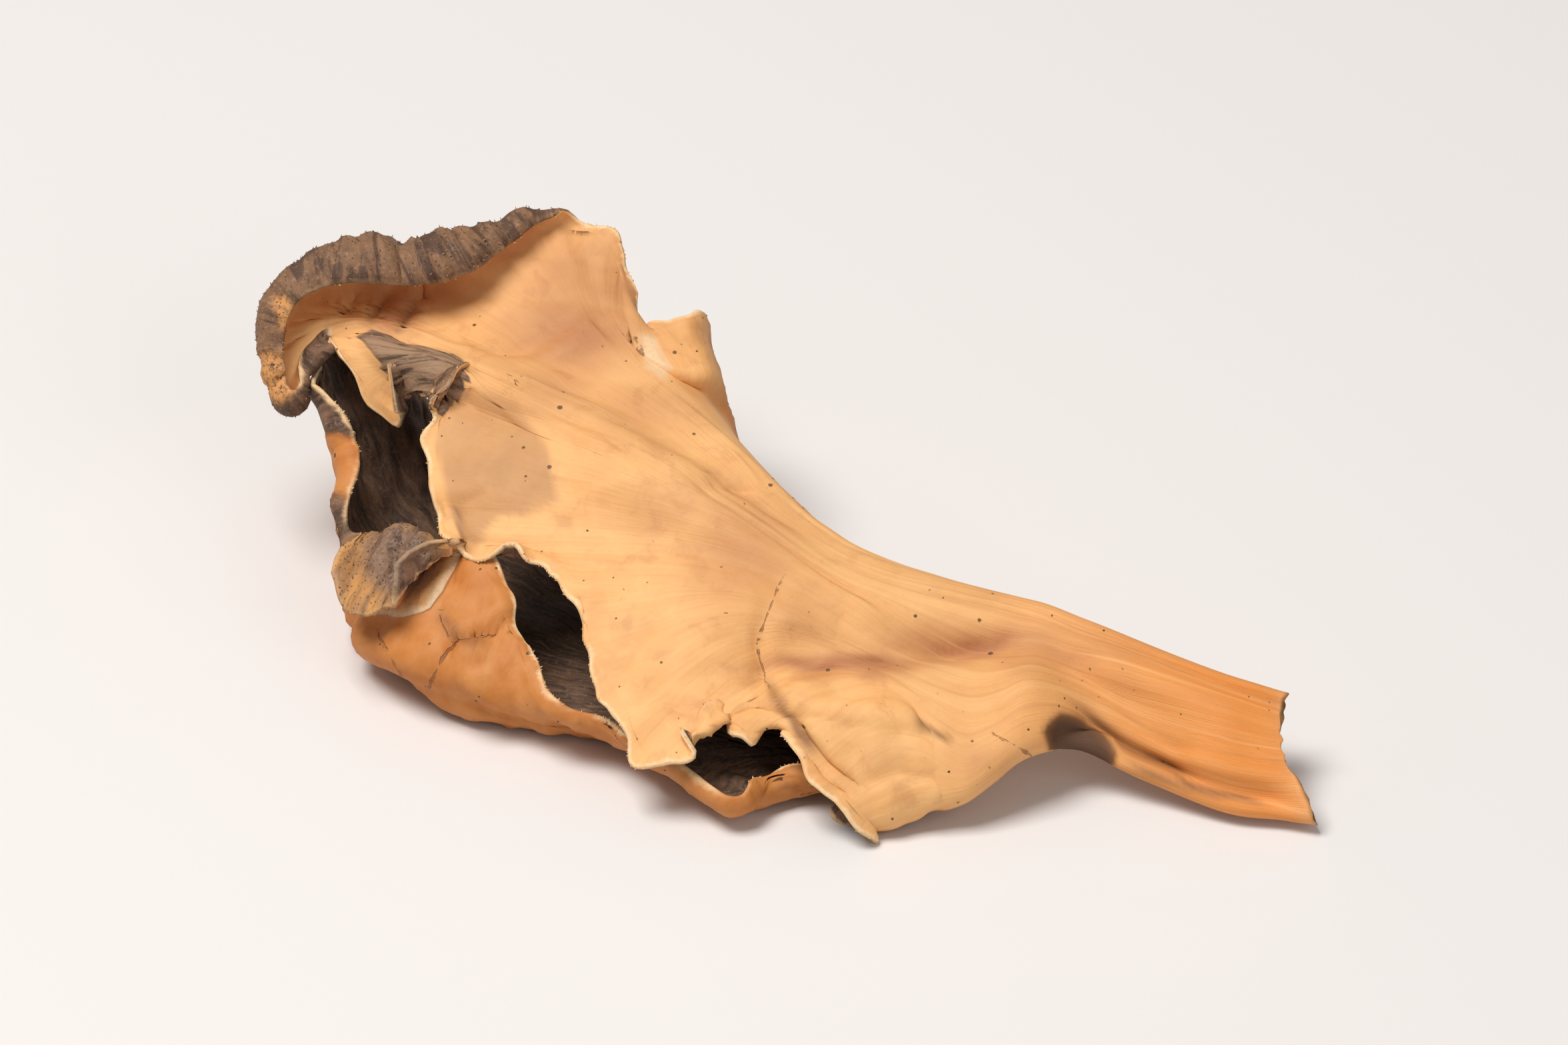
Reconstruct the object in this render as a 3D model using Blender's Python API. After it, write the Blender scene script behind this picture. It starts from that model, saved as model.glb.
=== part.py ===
"""Dried yellowfoot chanterelle, one mushroom lying on a surface.

The mushroom grew as one piece, a hollow trumpet of thin flesh, and collapsed as it dried. It is modelled as
one sheet: ribs run from the cut foot of the stem, through the neck, to the torn edge of the cap, and the sheet
is drawn smoothly over them. The pale underside of the cap faces up and to the front, and the mouth of the
trumpet opens to the left and along the front.

Frame: +X to the foot of the stem, +Y to the back, +Z up, with the surface it lies on at z = 0.
Lengths below are in millimetres until MM turns them into metres.
"""

import math

import bpy
import numpy as np
from mathutils import Vector

MM = 0.001

# Driving dimensions
WALL = 0.80  # flesh of the cap
EDGE_WALL = 0.62  # flesh at the torn edge
VOXEL = 0.27  # grain of the fused solid
TRIANGLES = 11400
FLAT_SPOT = 0.18  # how far the lowest folds are pressed flat against the surface they dried on
RIM = 0.5  # flesh beyond the last point of a rib that doesn't roll
SEED = 7
FLESH_COLOUR = (0.74, 0.43, 0.18, 1.0)

# How finely the sheet is drawn before it is fused
COLUMNS = 420
STEM_ROWS = 44
CAP_ROWS = 110
CURL_ROWS = 26
SPAN_POINTS = 24  # points drawn on each span of a rib before they are spaced evenly
SHARED = 0.8  # every span of the edge counts for this much more when the columns are shared out
RELAXING = 40  # smoothing passes over the cap
RELAXED_STEM = 4  # last rows of the stem that are smoothed with it
CAVITY_FROM = 0.10  # share of the cap's length, from the neck, where the hollow starts
NECK = STEM_ROWS - 1  # row where the stem ends
EDGE = NECK + CAP_ROWS - 1  # row of the edge, where the roll starts
THINNED_ROWS = 30  # rows before the edge in which the flesh thins

# The underside is drawn up a little in the middle, so that it stands on the folds round it
BELLY, BELLY_AT, BELLY_REACH = 0.55, (-4.5, 15.0), 8.0

# Relief of the dried flesh
FURROW, FURROWS = 0.26, 7  # lengthwise furrows of the stem: depth, and how many go round it
VEIN = 0.20  # low forked veins of the pale side
DENT = 0.42  # slack dents of the cap
WRINKLE = 0.24  # cross wrinkles of the rolled dark edge
WRINKLE_PITCH = 1.6
RAGGED = 0.35  # how far the torn edge comes and goes
STEM_FADES = 0.45  # share of the cap over which the stem's furrows die out
ROLL_FROM, ROLL_GROWS = 9, 14  # the roll's wrinkles start this many rows before the edge, and grow in so many

# The stem is a flattened tube between a back rail and a front rail: (back, front, half the gap between its
# layers), from the cut foot to the neck.
STEM_RUNS = (-1.0, 0.25, 0.1)
STEM = [
    ((22.9, 5.8, 3.7), (24.3, 0.5, 0.9), 0.50),
    ((21.6, 6.0, 4.0), (22.4, 0.8, 0.9), 0.62),
    ((20.0, 6.5, 4.2), (20.4, 1.1, 1.0), 0.70),
    ((16.4, 7.7, 4.9), (16.5, 2.8, 1.7), 0.75),
    ((13.7, 8.6, 5.5), (13.0, 4.2, 3.4), 0.85),
    ((11.8, 9.7, 5.7), (10.8, 2.5, 3.2), 1.00),
    ((10.1, 10.7, 5.6), (8.3, 0.9, 1.9), 1.20),
]


def rib(name, edge, via=(), curl=0.0, radius=1.0, flap=0.0, lie=None):
    """One rib of the cap: the points it passes on its way from the neck to the edge, and how its edge rolls.
    curl is in degrees, positive where the edge rolls over the pale side; flap is flat flesh beyond the roll.
    lie places an upper rib between the two guide lines: 0 on the front one, 1 on the back one."""
    turn = math.radians(curl)
    bend = abs(turn) * radius
    return {"via": via, "edge": edge, "turn": turn, "bend": bend, "roll": max(bend + flap, RIM), "lie": lie}


# Front, over the top of the cap, to the back.
UPPER = [
    rib("front lobe tip", (4.2, -0.3, 0.4), [(6.4, 0.1, 0.8)]),
    rib("front lobe low", (3.1, 0.0, 1.6), [(5.8, 0.8, 2.4)]),
    rib("front lobe", (1.9, 1.0, 2.8), [(5.1, 2.6, 4.0)]),
    rib("crease", (-0.3, 4.2, 4.0), [(4.2, 4.9, 4.6)]),
    rib("tab", (-2.7, 3.7, 4.1), [(2.8, 5.9, 5.2)]),
    rib("tab corner", (-4.6, 2.6, 3.7), [(1.4, 6.5, 5.6)]),
    rib("slot low end", (-6.1, 2.2, 3.1), [(0.2, 7.1, 6.0)]),
    rib("slot lip low", (-7.2, 4.4, 4.2), [(-0.9, 7.8, 6.4)]),
    rib("slot lip mid", (-8.6, 7.6, 5.4), [(-1.7, 8.6, 6.9)]),
    rib("slot lip high", (-9.8, 11.2, 6.8), [(-2.2, 9.4, 7.4)]),
    rib("slot top end", (-11.9, 13.0, 7.1), [(-2.6, 10.2, 7.8)]),
    rib("left edge low", (-14.4, 14.0, 6.7), [(-2.8, 11.0, 8.2)]),
    rib("left edge", (-15.6, 16.2, 8.0), [(-3.0, 11.8, 8.6)]),
    rib("left edge high", (-15.9, 18.6, 9.3), [(-3.0, 12.7, 8.9)]),
    rib("dark flap low", (-15.7, 20.0, 10.0), curl=150, radius=0.7, flap=0.8, lie=0.08),
    rib("dark flap", (-17.3, 21.4, 9.9), curl=170, radius=0.75, flap=2.0, lie=0.14),
    rib("tongue", (-18.0, 22.2, 8.9), [(-16.8, 22.3, 11.0)], lie=0.2),
    rib("tongue root", (-19.8, 24.2, 10.3), [(-16.8, 22.6, 11.2)], lie=0.25),
    rib("notch", (-21.0, 25.4, 11.0), [(-16.8, 22.9, 11.3)], lie=0.3),
    rib("lobe inside", (-21.8, 24.4, 9.7), [(-16.8, 23.2, 11.4), (-20.4, 25.6, 11.2)], curl=40, lie=0.35),
    rib("lobe tip", (-22.5, 23.9, 8.5), [(-16.8, 23.5, 11.5), (-21.1, 26.0, 11.3)],
        curl=190, radius=0.8, lie=0.4),
    rib("lobe outside", (-23.2, 25.2, 9.9), [(-16.7, 23.8, 11.6), (-21.5, 26.4, 11.5)],
        curl=200, radius=0.9, lie=0.45),
    rib("roll start", (-22.2, 26.6, 11.5), [(-16.6, 24.1, 11.8)], curl=210, radius=1.0, lie=0.5),
    rib("roll left", (-19.2, 26.9, 12.2), curl=235, radius=1.05, lie=0.58),
    rib("roll middle", (-16.3, 27.2, 12.6), curl=240, radius=1.05, lie=0.66),
    rib("roll right", (-13.2, 28.5, 13.2), curl=235, radius=1.0, lie=0.75),
    rib("roll end", (-11.2, 29.5, 13.7), [(-9.6, 25.6, 12.6)], curl=200, radius=0.85, lie=0.83),
    rib("top corner", (-8.3, 29.1, 13.8), [(-8.1, 24.8, 12.3)], lie=0.89),
    rib("torn side", (-7.3, 26.2, 12.6), [(-7.3, 23.7, 11.9)], lie=0.93),
    rib("torn notch", (-6.5, 24.0, 11.6), lie=0.965),
    rib("horn", (-4.3, 25.3, 12.1), lie=1),
]

# Back, underneath, to the front.
LOWER = [
    rib("behind the horn", (-3.7, 26.6, 9.6), [(4.6, 12.6, 5.6), (0.4, 16.4, 6.8), (-1.8, 20.2, 7.8)]),
    rib("back edge high", (-4.6, 29.4, 5.4), [(3.6, 11.8, 2.8), (-1.6, 19.6, 3.6)]),
    rib("back edge", (-9.4, 30.8, 0.5), [(2.6, 11.0, 1.4), (-4.3, 19.4, 1.1), (-7.6, 26.4, 0.6)]),
    rib("back edge left", (-14.8, 30.2, 1.8), [(1.6, 10.0, 0.9), (-7.2, 18.6, 0.5)]),
    rib("back corner", (-19.0, 28.3, 7.2), [(1.0, 9.4, 0.7), (-10.0, 17.5, 0.4), (-17.0, 24.6, 2.0)]),
    rib("far left edge", (-21.0, 25.8, 8.3), [(0.2, 8.8, 0.6), (-11.5, 15.8, 0.4), (-18.8, 21.8, 2.2)]),
    rib("left hem top", (-20.6, 21.4, 6.2), [(0.0, 8.6, 0.5), (-12.0, 14.7, 0.4), (-19.0, 18.9, 2.0)],
        curl=-120, radius=0.7),
    rib("left hem", (-20.2, 18.2, 4.2), [(-0.4, 8.4, 0.5), (-12.5, 13.6, 0.4), (-19.5, 16.4, 1.5)],
        curl=-40, radius=0.8),
    rib("rosette left", (-18.5, 16.6, 4.6), [(-0.6, 8.2, 0.5), (-12.2, 12.8, 0.4), (-19.8, 14.2, 1.6)],
        curl=165, radius=1.0, flap=2.6),
    rib("rosette", (-17.4, 16.2, 5.3),
        [(-0.6, 8.0, 0.5), (-12.0, 11.8, 0.4), (-19.4, 12.4, 1.4), (-18.6, 14.2, 3.6)],
        curl=175, radius=1.2, flap=3.8),
    rib("rosette inner", (-15.7, 14.9, 5.4),
        [(-0.4, 7.7, 0.5), (-11.0, 10.8, 0.4), (-17.8, 11.0, 1.4), (-17.3, 12.6, 3.8)],
        curl=160, radius=1.0, flap=2.4),
    rib("pouch lip top", (-13.9, 13.0, 6.1),
        [(0.0, 7.4, 0.5), (-9.0, 9.8, 0.4), (-15.6, 9.6, 0.8), (-15.6, 10.6, 3.9)]),
    rib("pouch lip", (-12.5, 9.9, 4.6),
        [(0.6, 7.0, 0.5), (-7.6, 9.0, 0.4), (-13.2, 8.8, 0.5), (-14.0, 8.9, 2.9)],
        curl=-50, radius=0.5),
    rib("slot lower lip", (-10.7, 6.5, 2.8),
        [(1.2, 6.4, 0.5), (-5.8, 8.2, 0.4), (-10.2, 8.2, 0.4), (-11.2, 7.0, 1.7)],
        curl=-60, radius=0.5),
    rib("slot lower lip low", (-8.2, 5.2, 2.4),
        [(1.8, 5.8, 0.5), (-4.4, 7.2, 0.4), (-7.6, 6.8, 0.6), (-8.6, 5.6, 1.5)],
        curl=-70, radius=0.5),
    rib("slot corner", (-5.8, 3.6, 1.7), [(2.6, 5.2, 0.6), (-2.6, 5.8, 0.4), (-5.0, 4.6, 0.6)],
        curl=-90, radius=0.5),
    rib("point", (-1.9, 0.9, 1.0), [(3.6, 4.2, 0.7), (0.6, 3.4, 0.5), (-1.2, 1.4, 0.45)],
        curl=-110, radius=0.55),
    rib("point root", (-0.3, 2.4, 1.7), [(4.4, 3.4, 0.8), (1.0, 2.8, 0.9)], curl=-70, radius=0.5),
    rib("under the crease", (2.0, 2.3, 1.4), [(5.2, 2.6, 0.9)]),
    rib("under the front lobe", (3.5, 0.7, 0.4), [(6.0, 1.0, 0.5)]),
]

# Two lines over the upper side, from neck to edge, that the ribs between them follow.
GUIDES = (
    [(3.0, 9.3, 7.1), (-6.0, 13.9, 9.2), (-15.9, 18.6, 9.3)],
    [(2.8, 12.9, 7.9), (-1.9, 18.6, 10.5), (-4.3, 25.3, 12.1)],
)

# Where the upper ribs leave the neck, in degrees round it from its front rail, for these places in UPPER.
UPPER_PLACES, UPPER_TURNS = (0, 1, 2, 3, 9, len(UPPER) - 1), (0, 20, 38, 56, 84, 180)

# Soft folds of the upper side, drawn in plan: (height, half width, points).
FOLDS = [
    (-0.75, 1.1, [(-0.6, 6.2), (3.0, 7.2), (6.4, 7.6), (11.4, 7.1), (15.0, 5.2), (17.6, 3.0)]),
    (0.35, 1.2, [(1.0, 3.4), (6.0, 4.0), (10.6, 4.6)]),
    (0.35, 1.3, [(20.0, 4.4), (13.0, 8.0), (6.0, 10.4), (-1.0, 12.4), (-8.0, 16.6)]),
    (-0.35, 1.4, [(2.0, 9.2), (-4.0, 11.4), (-10.0, 14.2)]),
    (-0.45, 1.6, [(-2.0, 19.0), (-6.0, 21.4), (-12.0, 22.6)]),
    (0.30, 1.5, [(-1.0, 9.0), (-4.6, 7.2), (-6.4, 5.0)]),
]


def catmull(points, per_span, closed=False):
    """Points on a centripetal Catmull-Rom curve through points; per_span gives the samples in each span."""
    p = np.asarray(points, float)
    if closed:
        ring = np.concatenate([p[-1:], p, p[:2]])
    else:
        ring = np.concatenate([2 * p[:1] - p[1:2], p, 2 * p[-1:] - p[-2:-1]])
    out = []
    for i, count in enumerate(per_span):
        a, b, c, d = ring[i : i + 4]
        step = [max(np.linalg.norm(v - u), 1e-6) ** 0.5 for u, v in ((a, b), (b, c), (c, d))]
        t0, t1, t2, t3 = np.cumsum([0.0, *step])
        t = (t1 + (t2 - t1) * np.arange(count) / count)[:, None]
        ab = (t1 - t) / (t1 - t0) * a + (t - t0) / (t1 - t0) * b
        bc = (t2 - t) / (t2 - t1) * b + (t - t1) / (t2 - t1) * c
        cd = (t3 - t) / (t3 - t2) * c + (t - t2) / (t3 - t2) * d
        abc = (t2 - t) / (t2 - t0) * ab + (t - t0) / (t2 - t0) * bc
        bcd = (t3 - t) / (t3 - t1) * bc + (t - t1) / (t3 - t1) * cd
        out.append((t2 - t) / (t2 - t1) * abc + (t - t1) / (t2 - t1) * bcd)
    if not closed:
        out.append(p[-1:])
    return np.concatenate(out)


def even(points, shares):
    """The points at the given shares of a dense line's length."""
    run = np.concatenate([[0.0], np.cumsum(np.linalg.norm(np.diff(points, axis=0), axis=1))])
    return np.stack([np.interp(shares * run[-1], run, points[:, k]) for k in range(3)], axis=1)


def stem_ring(back, front, gap, turns):
    """A closed cross-section between two rails. Turns are angles: 0 at the front rail, a quarter on top."""
    back, front = np.array(back), np.array(front)
    centre, wide = (back + front) / 2, (front - back) / 2
    up = np.cross(wide, STEM_RUNS)
    up = -up / np.linalg.norm(up) * gap
    if up[2] < 0:
        up = -up
    return centre + np.cos(turns)[:, None] * wide + np.sin(turns)[:, None] * up


def relaxed(rows):
    """The grid with its cap smoothed between the neck and the edge, so that neighbouring ribs never cross."""
    rows = rows.copy()
    first = STEM_ROWS - RELAXED_STEM
    for _ in range(RELAXING):
        near = (rows[first - 1 : -2] + rows[first + 1 :]) / 4
        near = near + (np.roll(rows, 1, axis=1) + np.roll(rows, -1, axis=1))[first:-1] / 4
        rows[first:-1] = (rows[first:-1] + near) / 2
    return rows


def guided(lie, far):
    """The two points, between the guide lines, by which a rib reaches the point far."""
    between = [np.array(front) + lie * (np.array(back) - np.array(front)) for front, back in zip(*GUIDES)]
    between[1] = between[1] + 0.3 * (np.array(far) - between[2])
    return between[:2]


def sheet_grid():
    """The middle of the sheet as rows of points, foot to edge, and the columns' share of the way round."""
    ribs = UPPER + LOWER
    turns = np.concatenate([
        np.radians(np.interp(np.arange(len(UPPER)), UPPER_PLACES, UPPER_TURNS)),
        np.linspace(math.pi, 2 * math.pi, len(LOWER) + 2)[1:-1],
    ])
    rings = [stem_ring(*station, turns) for station in STEM]
    stem_lines, cap_lines = [], []
    shares = np.linspace(0, 1, CAP_ROWS)
    for i, r in enumerate(ribs):
        stem_points = np.array([ring[i] for ring in rings])
        path = [*r["via"], r["edge"]]
        if r["lie"] is not None:
            path = [*guided(r["lie"], path[0]), *path]
        whole = np.concatenate([stem_points, np.array(path, float)])
        dense = catmull(whole, [SPAN_POINTS] * (len(whole) - 1))
        neck = SPAN_POINTS * (len(rings) - 1)
        stem_lines.append(even(dense[: neck + 1], np.linspace(0, 1, STEM_ROWS)))
        cap_lines.append(even(dense[neck:], shares))
    lines = np.concatenate([np.array(stem_lines)[:, :-1], np.array(cap_lines)], axis=1)

    edge = lines[:, -1]
    spans = np.linalg.norm(np.roll(edge, -1, axis=0) - edge, axis=1) + SHARED
    counts = np.maximum(3, np.round(COLUMNS * spans / spans.sum())).astype(int)
    rows = np.stack([catmull(lines[:, j], counts, closed=True) for j in range(lines.shape[1])])
    loose = np.array([[r["turn"], r["bend"], r["roll"]] for r in ribs])
    curl = catmull(loose, counts, closed=True)
    rows = relaxed(rows)
    off = (rows[..., 0] - BELLY_AT[0]) ** 2 + (rows[..., 1] - BELLY_AT[1]) ** 2
    rows[..., 2] += BELLY * np.exp(-off / BELLY_REACH**2) * eased(1.5 - 0.5 * rows[..., 2])
    return rows, curl


def unit(v):
    return v / np.maximum(np.linalg.norm(v, axis=-1, keepdims=True), 1e-9)


def normals_of(rows):
    """Outward normals of the grid: away from the hollow of the trumpet."""
    along = np.gradient(rows, axis=0)
    around = (np.roll(rows, -1, axis=1) - np.roll(rows, 1, axis=1)) / 2
    return unit(np.cross(around, along))


def smoothed(v, reach):
    """A ring of vectors averaged over reach neighbours on each side."""
    total = sum(np.roll(v, k, axis=0) for k in range(-reach, reach + 1))
    return total / (2 * reach + 1)


def with_rolled_edge(rows, curl):
    """The grid with its edge carried on round each column's roll, square to the line of the edge."""
    line = smoothed(np.roll(rows[-1], -1, axis=0) - np.roll(rows[-1], 1, axis=0), 5)
    line = unit(line)
    along = smoothed(unit(rows[-1] - rows[-4]), 3)
    along = unit(along - (along * line).sum(-1, keepdims=True) * line)
    outward = unit(np.cross(line, along))
    turn, bend, length = curl.T
    ragged = wave(np.arange(len(turn)) / len(turn), 21, 0.08) * np.clip(1 - np.abs(turn), 0, 1)
    length = np.maximum(length + RAGGED * ragged, 0.25)
    rate = np.clip(length / np.clip(bend, 0.05, None), 1, None)
    point, more = rows[-1], []
    step = (length / CURL_ROWS)[:, None]
    for k in range(CURL_ROWS):
        angle = (turn * np.minimum(rate * (k + 0.5) / CURL_ROWS, 1))[:, None]
        point = point + step * (np.cos(angle) * along + np.sin(angle) * outward)
        more.append(point)
    return np.concatenate([rows, np.stack(more)])


def wave(x, seed, period=1.0):
    """Smooth seeded noise that repeats over the period, about -1 to 1. x may be any array."""
    rng = np.random.default_rng(SEED + seed)
    total = np.zeros_like(x, dtype=float)
    for k in range(1, 6):
        total += rng.uniform(0.4, 1.0) / k**0.5 * np.sin(2 * math.pi * k * x / period + rng.uniform(0, 6.28))
    return total / 1.9


def eased(x):
    """A smooth step from 0 to 1."""
    x = np.clip(x, 0, 1)
    return x * x * (3 - 2 * x)


def fold(rows, line, width):
    """How near each point of the upper side lies to a line drawn on it in plan: 1 on it, 0 well away."""
    line = catmull([(*p, 0.0) for p in line], [12] * (len(line) - 1))[:, :2]
    plan = rows[..., :2]
    off = np.full(rows.shape[:2], 1e9)
    for a, b in zip(line[:-1], line[1:]):
        share = np.clip(((plan - a) @ (b - a)) / max((b - a) @ (b - a), 1e-9), 0, 1)
        off = np.minimum(off, np.linalg.norm(plan - (a + share[..., None] * (b - a)), axis=-1))
    return np.exp(-((off / width) ** 2)) * np.clip(3 * normals_of(rows)[..., 2], 0, 1)


def relief(rows, curl):
    """How far each point of the sheet stands out of its smooth course, in millimetres."""
    count, n = rows.shape[:2]
    j = np.arange(count)[:, None]
    along = np.clip((j - NECK) / (EDGE - NECK), 0, 1)  # 0 at the neck, 1 at the edge
    stem = eased(1 - (j - NECK) / (STEM_FADES * CAP_ROWS))
    rolled = eased((j - EDGE + ROLL_FROM) / ROLL_GROWS)
    margin = np.concatenate([[0], np.cumsum(np.linalg.norm(np.diff(rows[EDGE], axis=0), axis=1))])[None, :]
    turn = (np.arange(n) / n)[None, :]
    x, y = rows[..., 0], rows[..., 1]
    furrows = 0.7 * np.sin(2 * math.pi * (FURROWS * turn + 0.01 * x)) + 0.6 * wave(turn + 0.004 * x, 3, 0.5)
    furrows = FURROW * stem * furrows
    veins = VEIN * (0.4 + 0.6 * along) * wave(turn + 0.02 * np.sin(9 * along), 5, 0.25)
    veins = veins * (1 - stem) * (1 - rolled)
    dents = DENT * wave(x / 17.0 + 0.5 * wave(y / 23.0, 11), 9) * wave(y / 19.0, 13)
    dents = dents * (1 - stem) * (1 - rolled)
    skin = WRINKLE * rolled * np.clip(np.abs(curl[:, 0]) - 1.2, 0, 1) * (0.6 + 0.5 * wave(margin / 7.0, 17))
    skin = skin * np.sin(2 * math.pi * (margin / WRINKLE_PITCH + 0.5 * wave(margin / 9.0, 15)))
    folds = sum(height * fold(rows, line, width) for height, width, line in FOLDS)
    return furrows + veins + dents + skin + folds


def sheet_points():
    """The middle of the sheet with its relief, its normals, and its half thickness row by row."""
    rows, curl = sheet_grid()
    rows = with_rolled_edge(rows, curl)
    rows = rows + normals_of(rows) * relief(rows, curl)[..., None]
    to_edge = np.clip((np.arange(len(rows)) - EDGE + THINNED_ROWS) / (THINNED_ROWS + CURL_ROWS), 0, 1)
    wall = WALL + (EDGE_WALL - WALL) * to_edge
    return rows, normals_of(rows), wall[:, None, None] / 2


def sheet_mesh(name):
    """A closed mesh of the sheet: its outside, foot to edge, and its inside, edge to the hollow's foot."""
    rows, normal, half = sheet_points()
    outer = rows + normal * half
    inner = rows - normal * half
    first = STEM_ROWS + int(CAVITY_FROM * CAP_ROWS)
    skin = np.concatenate([outer, inner[first:][::-1]])
    n = skin.shape[1]
    points = [Vector(p) * MM for p in skin.reshape(-1, 3)]
    points.append(Vector(outer[0].mean(axis=0)) * MM)
    points.append(Vector(inner[first].mean(axis=0)) * MM)
    faces = []
    for j in range(len(skin) - 1):
        for i in range(n):
            k = (i + 1) % n
            faces.append((j * n + i, j * n + k, (j + 1) * n + k, (j + 1) * n + i))
    foot, bottom, last = len(points) - 2, len(points) - 1, (len(skin) - 1) * n
    for i in range(n):
        k = (i + 1) % n
        faces.append((foot, k, i))
        faces.append((bottom, last + i, last + k))
    mesh = bpy.data.meshes.new(name)
    mesh.from_pydata(points, [], faces)
    mesh.validate()
    mesh.update()
    return mesh


def fused(obj):
    """Turns the folded sheet into one clean solid: layers that cross are fused and the mesh is thinned."""
    remesh = obj.modifiers.new("fuse", "REMESH")
    remesh.mode = "VOXEL"
    remesh.voxel_size = VOXEL * MM
    remesh.adaptivity = 0.0
    graph = bpy.context.evaluated_depsgraph_get()
    dense = bpy.data.meshes.new_from_object(obj.evaluated_get(graph))
    obj.modifiers.clear()
    obj.data = dense
    thin = obj.modifiers.new("thin", "DECIMATE")
    thin.ratio = min(1.0, TRIANGLES / (2 * len(dense.polygons)))
    graph = bpy.context.evaluated_depsgraph_get()
    graph.update()
    obj.data = bpy.data.meshes.new_from_object(obj.evaluated_get(graph))
    obj.modifiers.clear()


def settle(obj):
    """Leans the solid onto its lowest folds, presses them flat, and puts the origin under the middle of it.
    The lean is the slope of the floor under it, found in ever smaller steps."""
    points = np.array([v.co for v in obj.data.vertices])
    areas = np.array([p.area for p in obj.data.polygons])
    middle = (np.array([p.center for p in obj.data.polygons]) * areas[:, None]).sum(axis=0) / areas.sum()
    plan, height = points[:, :2] - middle[:2], points[:, 2]
    lean = np.zeros(2)
    for reach in (0.05, 0.02, 0.01, 0.005, 0.002, 0.001, 0.0005, 0.0002) * 2:
        tries = [lean + reach * np.array([u, v]) for u in range(-3, 4) for v in range(-3, 4)]
        lean = max(tries, key=lambda t: (height - plan @ t).min())
    points[:, 2] = height - plan @ lean
    floor = points[:, 2].min() + FLAT_SPOT * MM
    points[:, 2] = np.maximum(points[:, 2], floor)
    shift = np.array([*(points.max(axis=0) + points.min(axis=0))[:2] / 2, floor])
    for v, p in zip(obj.data.vertices, points - shift):
        v.co = p


def dried_flesh():
    """The orange-buff of the pale side."""
    material = bpy.data.materials.new("dried_flesh")
    material.use_nodes = True
    shader = material.node_tree.nodes["Principled BSDF"]
    shader.inputs["Base Color"].default_value = FLESH_COLOUR
    shader.inputs["Roughness"].default_value = 0.62
    shader.inputs["Metallic"].default_value = 0.0
    return material


def build():
    for old in list(bpy.data.objects):
        bpy.data.objects.remove(old)
    obj = bpy.data.objects.new("dried_chanterelle", sheet_mesh("dried_chanterelle"))
    bpy.context.scene.collection.objects.link(obj)
    fused(obj)
    settle(obj)
    obj.data.materials.append(dried_flesh())
    obj.data.shade_smooth()
    return obj


build()
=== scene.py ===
"""The looks of one dried yellowfoot chanterelle, lying on a pale surface.

The mushroom grew as one thin sheet of flesh, a hollow trumpet, and collapsed as it dried. Its sheet is drawn
here over nearly the same ribs as in the construction, but finer, with its own furrows, wrinkles, cracks and
torn edge. The outside is the pale side. The inside is the dark skin, which shows where the edge has rolled
over and in the mouth.

Lengths are in millimetres until MM turns them into metres. The ribs stand in the drawing's frame, and
in_place() moves the finished sheet to the frame of the construction.
"""

import itertools
import math

import bpy
import numpy as np
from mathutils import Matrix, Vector
from mathutils.bvhtree import BVHTree


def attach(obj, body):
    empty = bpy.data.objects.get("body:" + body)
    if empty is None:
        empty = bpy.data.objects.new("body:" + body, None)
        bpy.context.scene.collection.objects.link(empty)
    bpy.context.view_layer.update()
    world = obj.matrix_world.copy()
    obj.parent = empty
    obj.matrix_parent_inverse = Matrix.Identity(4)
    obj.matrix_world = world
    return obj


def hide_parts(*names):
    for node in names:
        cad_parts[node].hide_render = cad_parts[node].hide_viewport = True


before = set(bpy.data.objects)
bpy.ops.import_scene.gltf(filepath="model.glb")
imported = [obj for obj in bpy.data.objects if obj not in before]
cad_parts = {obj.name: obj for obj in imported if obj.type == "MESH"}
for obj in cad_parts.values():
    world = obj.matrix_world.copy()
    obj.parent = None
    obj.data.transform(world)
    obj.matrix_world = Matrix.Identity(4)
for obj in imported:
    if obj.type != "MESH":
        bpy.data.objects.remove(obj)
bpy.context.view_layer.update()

MM = 0.001
SEED = 7
WAVES, WAVES_HIGH = 5, 1.9  # waves that make up seeded noise, and about how high they stand together
HASH, HASH_MIX = (73856093, 19349663, 83492791, 2654435761), 1274126177  # large numbers that scatter cells

# The sheet as drawn in the construction: columns round it, and rows from the foot to the edge
COLUMNS = 420
STEM_ROWS, CAP_ROWS, CURL_ROWS = 44, 110, 26
SPAN_POINTS = 24
SHARED = 0.8  # what every span of the edge counts for, whatever its length
RELAXING, RELAXED_STEM = 40, 4  # passes that smooth the cap, and the rows of the stem that they reach
NECK = STEM_ROWS - 1
EDGE = NECK + CAP_ROWS - 1
THINNED_ROWS = 30
CAVITY_ROW = STEM_ROWS + 11  # the hollow starts here
BELLY, BELLY_AT, BELLY_REACH = 0.55, (-4.5, 15.0), 8.0  # how far the under side's middle is off the floor
RIM = 0.5
PULLED = 0.3  # how far a rib on the guide lines is drawn towards its own next point

# The finer sheet
FINE_COLUMNS = 840
FINE_STEM_ROWS, FINE_CAP_ROWS, FINE_CURL_ROWS = 46, 84, 18
FINE_EDGE = FINE_STEM_ROWS + FINE_CAP_ROWS - 2  # the row at the edge
COLUMN_STEPS = (8, 4, 2, 1)  # columns skipped on the stem, near the neck, over the cap and at the edge
STEP_ROWS = (FINE_STEM_ROWS - 2, FINE_STEM_ROWS + 21, FINE_EDGE - 6)  # the rows where these steps change
HOLLOW_FINE_ROWS = 24  # rows before the edge where the inside is as fine as the outside
WALL, EDGE_WALL = 0.60, 0.22
ROOM, ROOM_SHARE = 2.5, 0.42  # how far behind the sheet its other side matters, and the wall's share of it

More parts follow.
